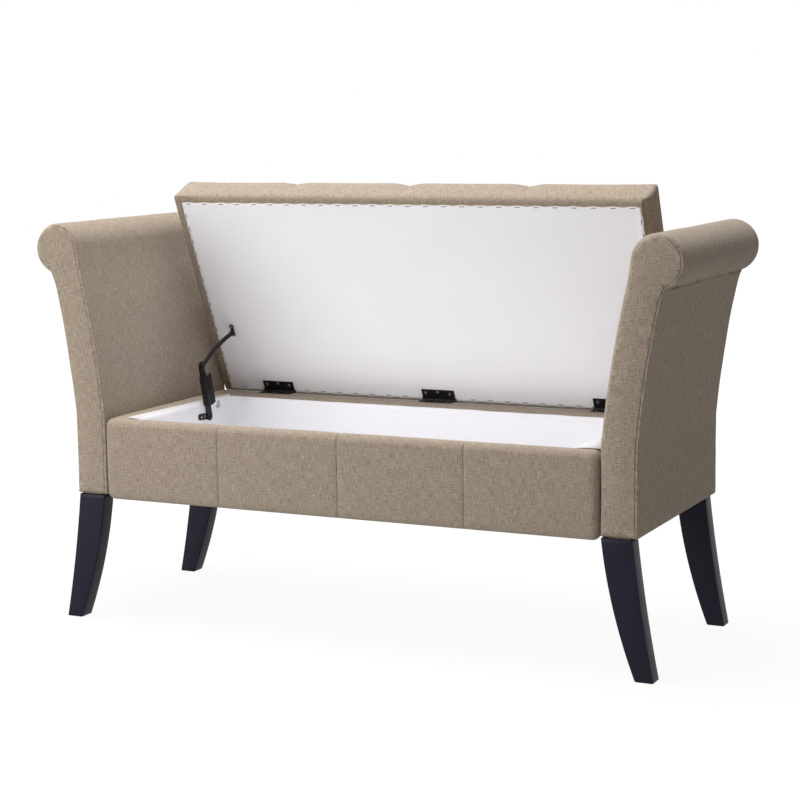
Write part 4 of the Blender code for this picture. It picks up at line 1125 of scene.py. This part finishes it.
def build_screw(node, head, direction, body):
    place = Matrix.Translation(head) @ upright_to(direction)
    place = place @ Matrix.Rotation(math.radians(70) * ripple((head[0] * 7, head[1], head[2]), 0.01), 4, "Z")
    screw = turned(f"{node}_turned", screw_profile(), place, screw_steel, body,
                   slot_reach=0.0021, slot_half=0.00045, slot_depth=0.0007)
    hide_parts(node)


lid_down = (LID_OPEN.to_3x3() @ Vector((0, 0, -1))).normalized()
for side, x in HINGES.items():
    for number, (across, reach) in enumerate(((-0.026, 0.015), (0.0, 0.0185), (0.026, 0.015)), start=1):
        build_screw(f"{side}_hinge_rail_screw_{number}", HINGE_LINE + Vector((x + across, -reach, -0.0004)),
                    (0, 0, 1), "bench")
        build_screw(f"{side}_hinge_lid_screw_{number}", LID_OPEN @ Vector((x + across, -reach, 0.0004)),
                    lid_down, "lid")
for number, off in ((1, -0.0088), (2, 0.0088)):
    low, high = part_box(f"stay_wall_screw_{number}")
    build_screw(f"stay_wall_screw_{number}", Vector((high.x, (low.y + high.y) / 2, (low.z + high.z) / 2)),
                (1, 0, 0), "bench")
    build_screw(f"stay_lid_screw_{number}", LID_OPEN @ Vector((-0.4405, -0.142 + off, 0.0)), lid_down, "lid")


def build_arm_bolt(side, sign):
    low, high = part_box(f"{side}_arm_bolt")
    middle = (low + high) / 2
    face = low.x if sign > 0 else high.x
    length = high.x - low.x
    profile = [(0.0026, -length), (0.0032, -length + 0.0006)]
    for step in range(18):
        height = -length + 0.0012 + 0.0014 * step
        profile += [(0.0029, height), (0.0032, height + 0.0005)]
    profile += [(0.0031, -0.0029), (0.0099, -0.0028), (0.0100, -0.0020), (0.0095, -0.0015), (0.0083, -0.0014),
                (0.0079, -0.0026), (0.0075, -0.0026), (0.0073, -0.0012), (0.0064, -0.0005), (0.0048, -0.0001)]
    profile += [(radius, 0.0) for radius in (0.0036, 0.0030, 0.0026, 0.0021, 0.0016, 0.0012, 0.0009, 0.0006,
                                             0.0003)]
    place = Matrix.Translation((face, middle.y, middle.z)) @ upright_to((-sign, 0, 0))
    bolt = turned(f"{side}_arm_bolt_turned", profile, place, zinc_plate, "bench",
                  slot_reach=0.0046, slot_half=0.0011, slot_depth=0.0018)
    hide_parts(f"{side}_arm_bolt")


for side, sign in (("left", -1), ("right", 1)):
    build_arm_bolt(side, sign)
    refinish([f"front_{side}_leg_bolt", f"rear_{side}_leg_bolt"], zinc_plate, edge=0.0004)


# ----------------------------------------------------------------------
# The room: a pale floor that runs out of sight, a wide soft light in front and one overhead, and the camera
# where the photograph was taken from.

def seen_directly(tree):
    """1 where the camera sees it, straight or in a reflection."""
    rays = add_node(tree, "LightPath").outputs
    reflected = maths(tree, "MAXIMUM", rays["Is Glossy Ray"], rays["Is Transmission Ray"])
    return maths(tree, "MAXIMUM", rays["Is Camera Ray"], reflected)


def pale_floor():
    """Matt floor that looks white, keeps a faint shadow near the bench and runs out into plain white."""
    material, tree, shader = new_material("pale floor", {"Roughness": 1.0, "Specular IOR Level": 0.0})
    spot = add_node(tree, "TexCoord").outputs["Object"]
    grain = mixed(tree, cloudy(tree, spot, 40.0), (0.56, 0.56, 0.56, 1.0), (0.59, 0.59, 0.59, 1.0))
    tree.links.new(grain, shader.inputs["Base Color"])
    away = add_node(tree, "VectorMath", {0: spot}, operation="LENGTH").outputs["Value"]
    fade = {"Value": away, "From Min": 0.8, "From Max": 1.6, "To Min": 0.935, "To Max": 1.0}
    strength = add_node(tree, "MapRange", fade).outputs[0]
    glow = add_node(tree, "Emission", {"Color": (1.0, 1.0, 1.0, 1.0), "Strength": strength}).outputs[0]
    matt = add_node(tree, "BsdfDiffuse", {"Color": (0.07, 0.07, 0.07, 1.0)}).outputs[0]
    shown = add_node(tree, "AddShader", {0: glow, 1: matt}).outputs[0]
    both = add_node(tree, "MixShader", {0: seen_directly(tree), 1: shader.outputs[0], 2: shown}).outputs[0]
    tree.links.new(both, tree.nodes["Material Output"].inputs["Surface"])
    return material


def add_light(name, place, aim, width, height, power):
    light = bpy.data.lights.new(name, "AREA")
    light.shape = "RECTANGLE"
    light.size, light.size_y = width, height
    light.energy = power
    lamp = put_in(name, light)
    lamp.location = place
    lamp.rotation_euler = (Vector(aim) - Vector(place)).to_track_quat("-Z", "Y").to_euler()


def build_room():
    reach = 9
    corners = [(-reach, -reach, 0), (reach, -reach, 0), (reach, reach, 0), (-reach, reach, 0)]
    mesh = bpy.data.meshes.new("floor")
    mesh.from_pydata(corners, [], [(0, 1, 2, 3)])
    mesh.materials.append(pale_floor())
    floor = put_in("floor", mesh)

    world = bpy.data.worlds.new("studio")
    bpy.context.scene.world = world
    world.use_nodes = True
    tree = world.node_tree
    background = tree.nodes["Background"]
    tree.links.new(maths(tree, "MULTIPLY_ADD", seen_directly(tree), 0.735, 0.265), background.inputs["Strength"])
    background.inputs["Color"].default_value = (1.0, 1.0, 1.0, 1.0)

    add_light("front softbox", (-1.60, -2.4, 1.0), (-0.4, 0, 0.45), width=1.8, height=1.4, power=43)
    add_light("overhead softbox", (-0.40, -0.05, 3.3), (0, -0.05, 0.45), width=2.2, height=1.6, power=118)

    camera = put_in("camera", bpy.data.cameras.new("camera"))
    camera.location = (1.64594, -3.38529, 0.97110)
    camera.rotation_euler = [math.radians(turn) for turn in (81.861, 0.708, 25.732)]
    camera.data.sensor_width = 36
    camera.data.lens = 89.589
    camera.data.shift_y = -0.0064
    bpy.context.scene.camera = camera
    bpy.context.scene.view_settings.view_transform = "Standard"


build_room()
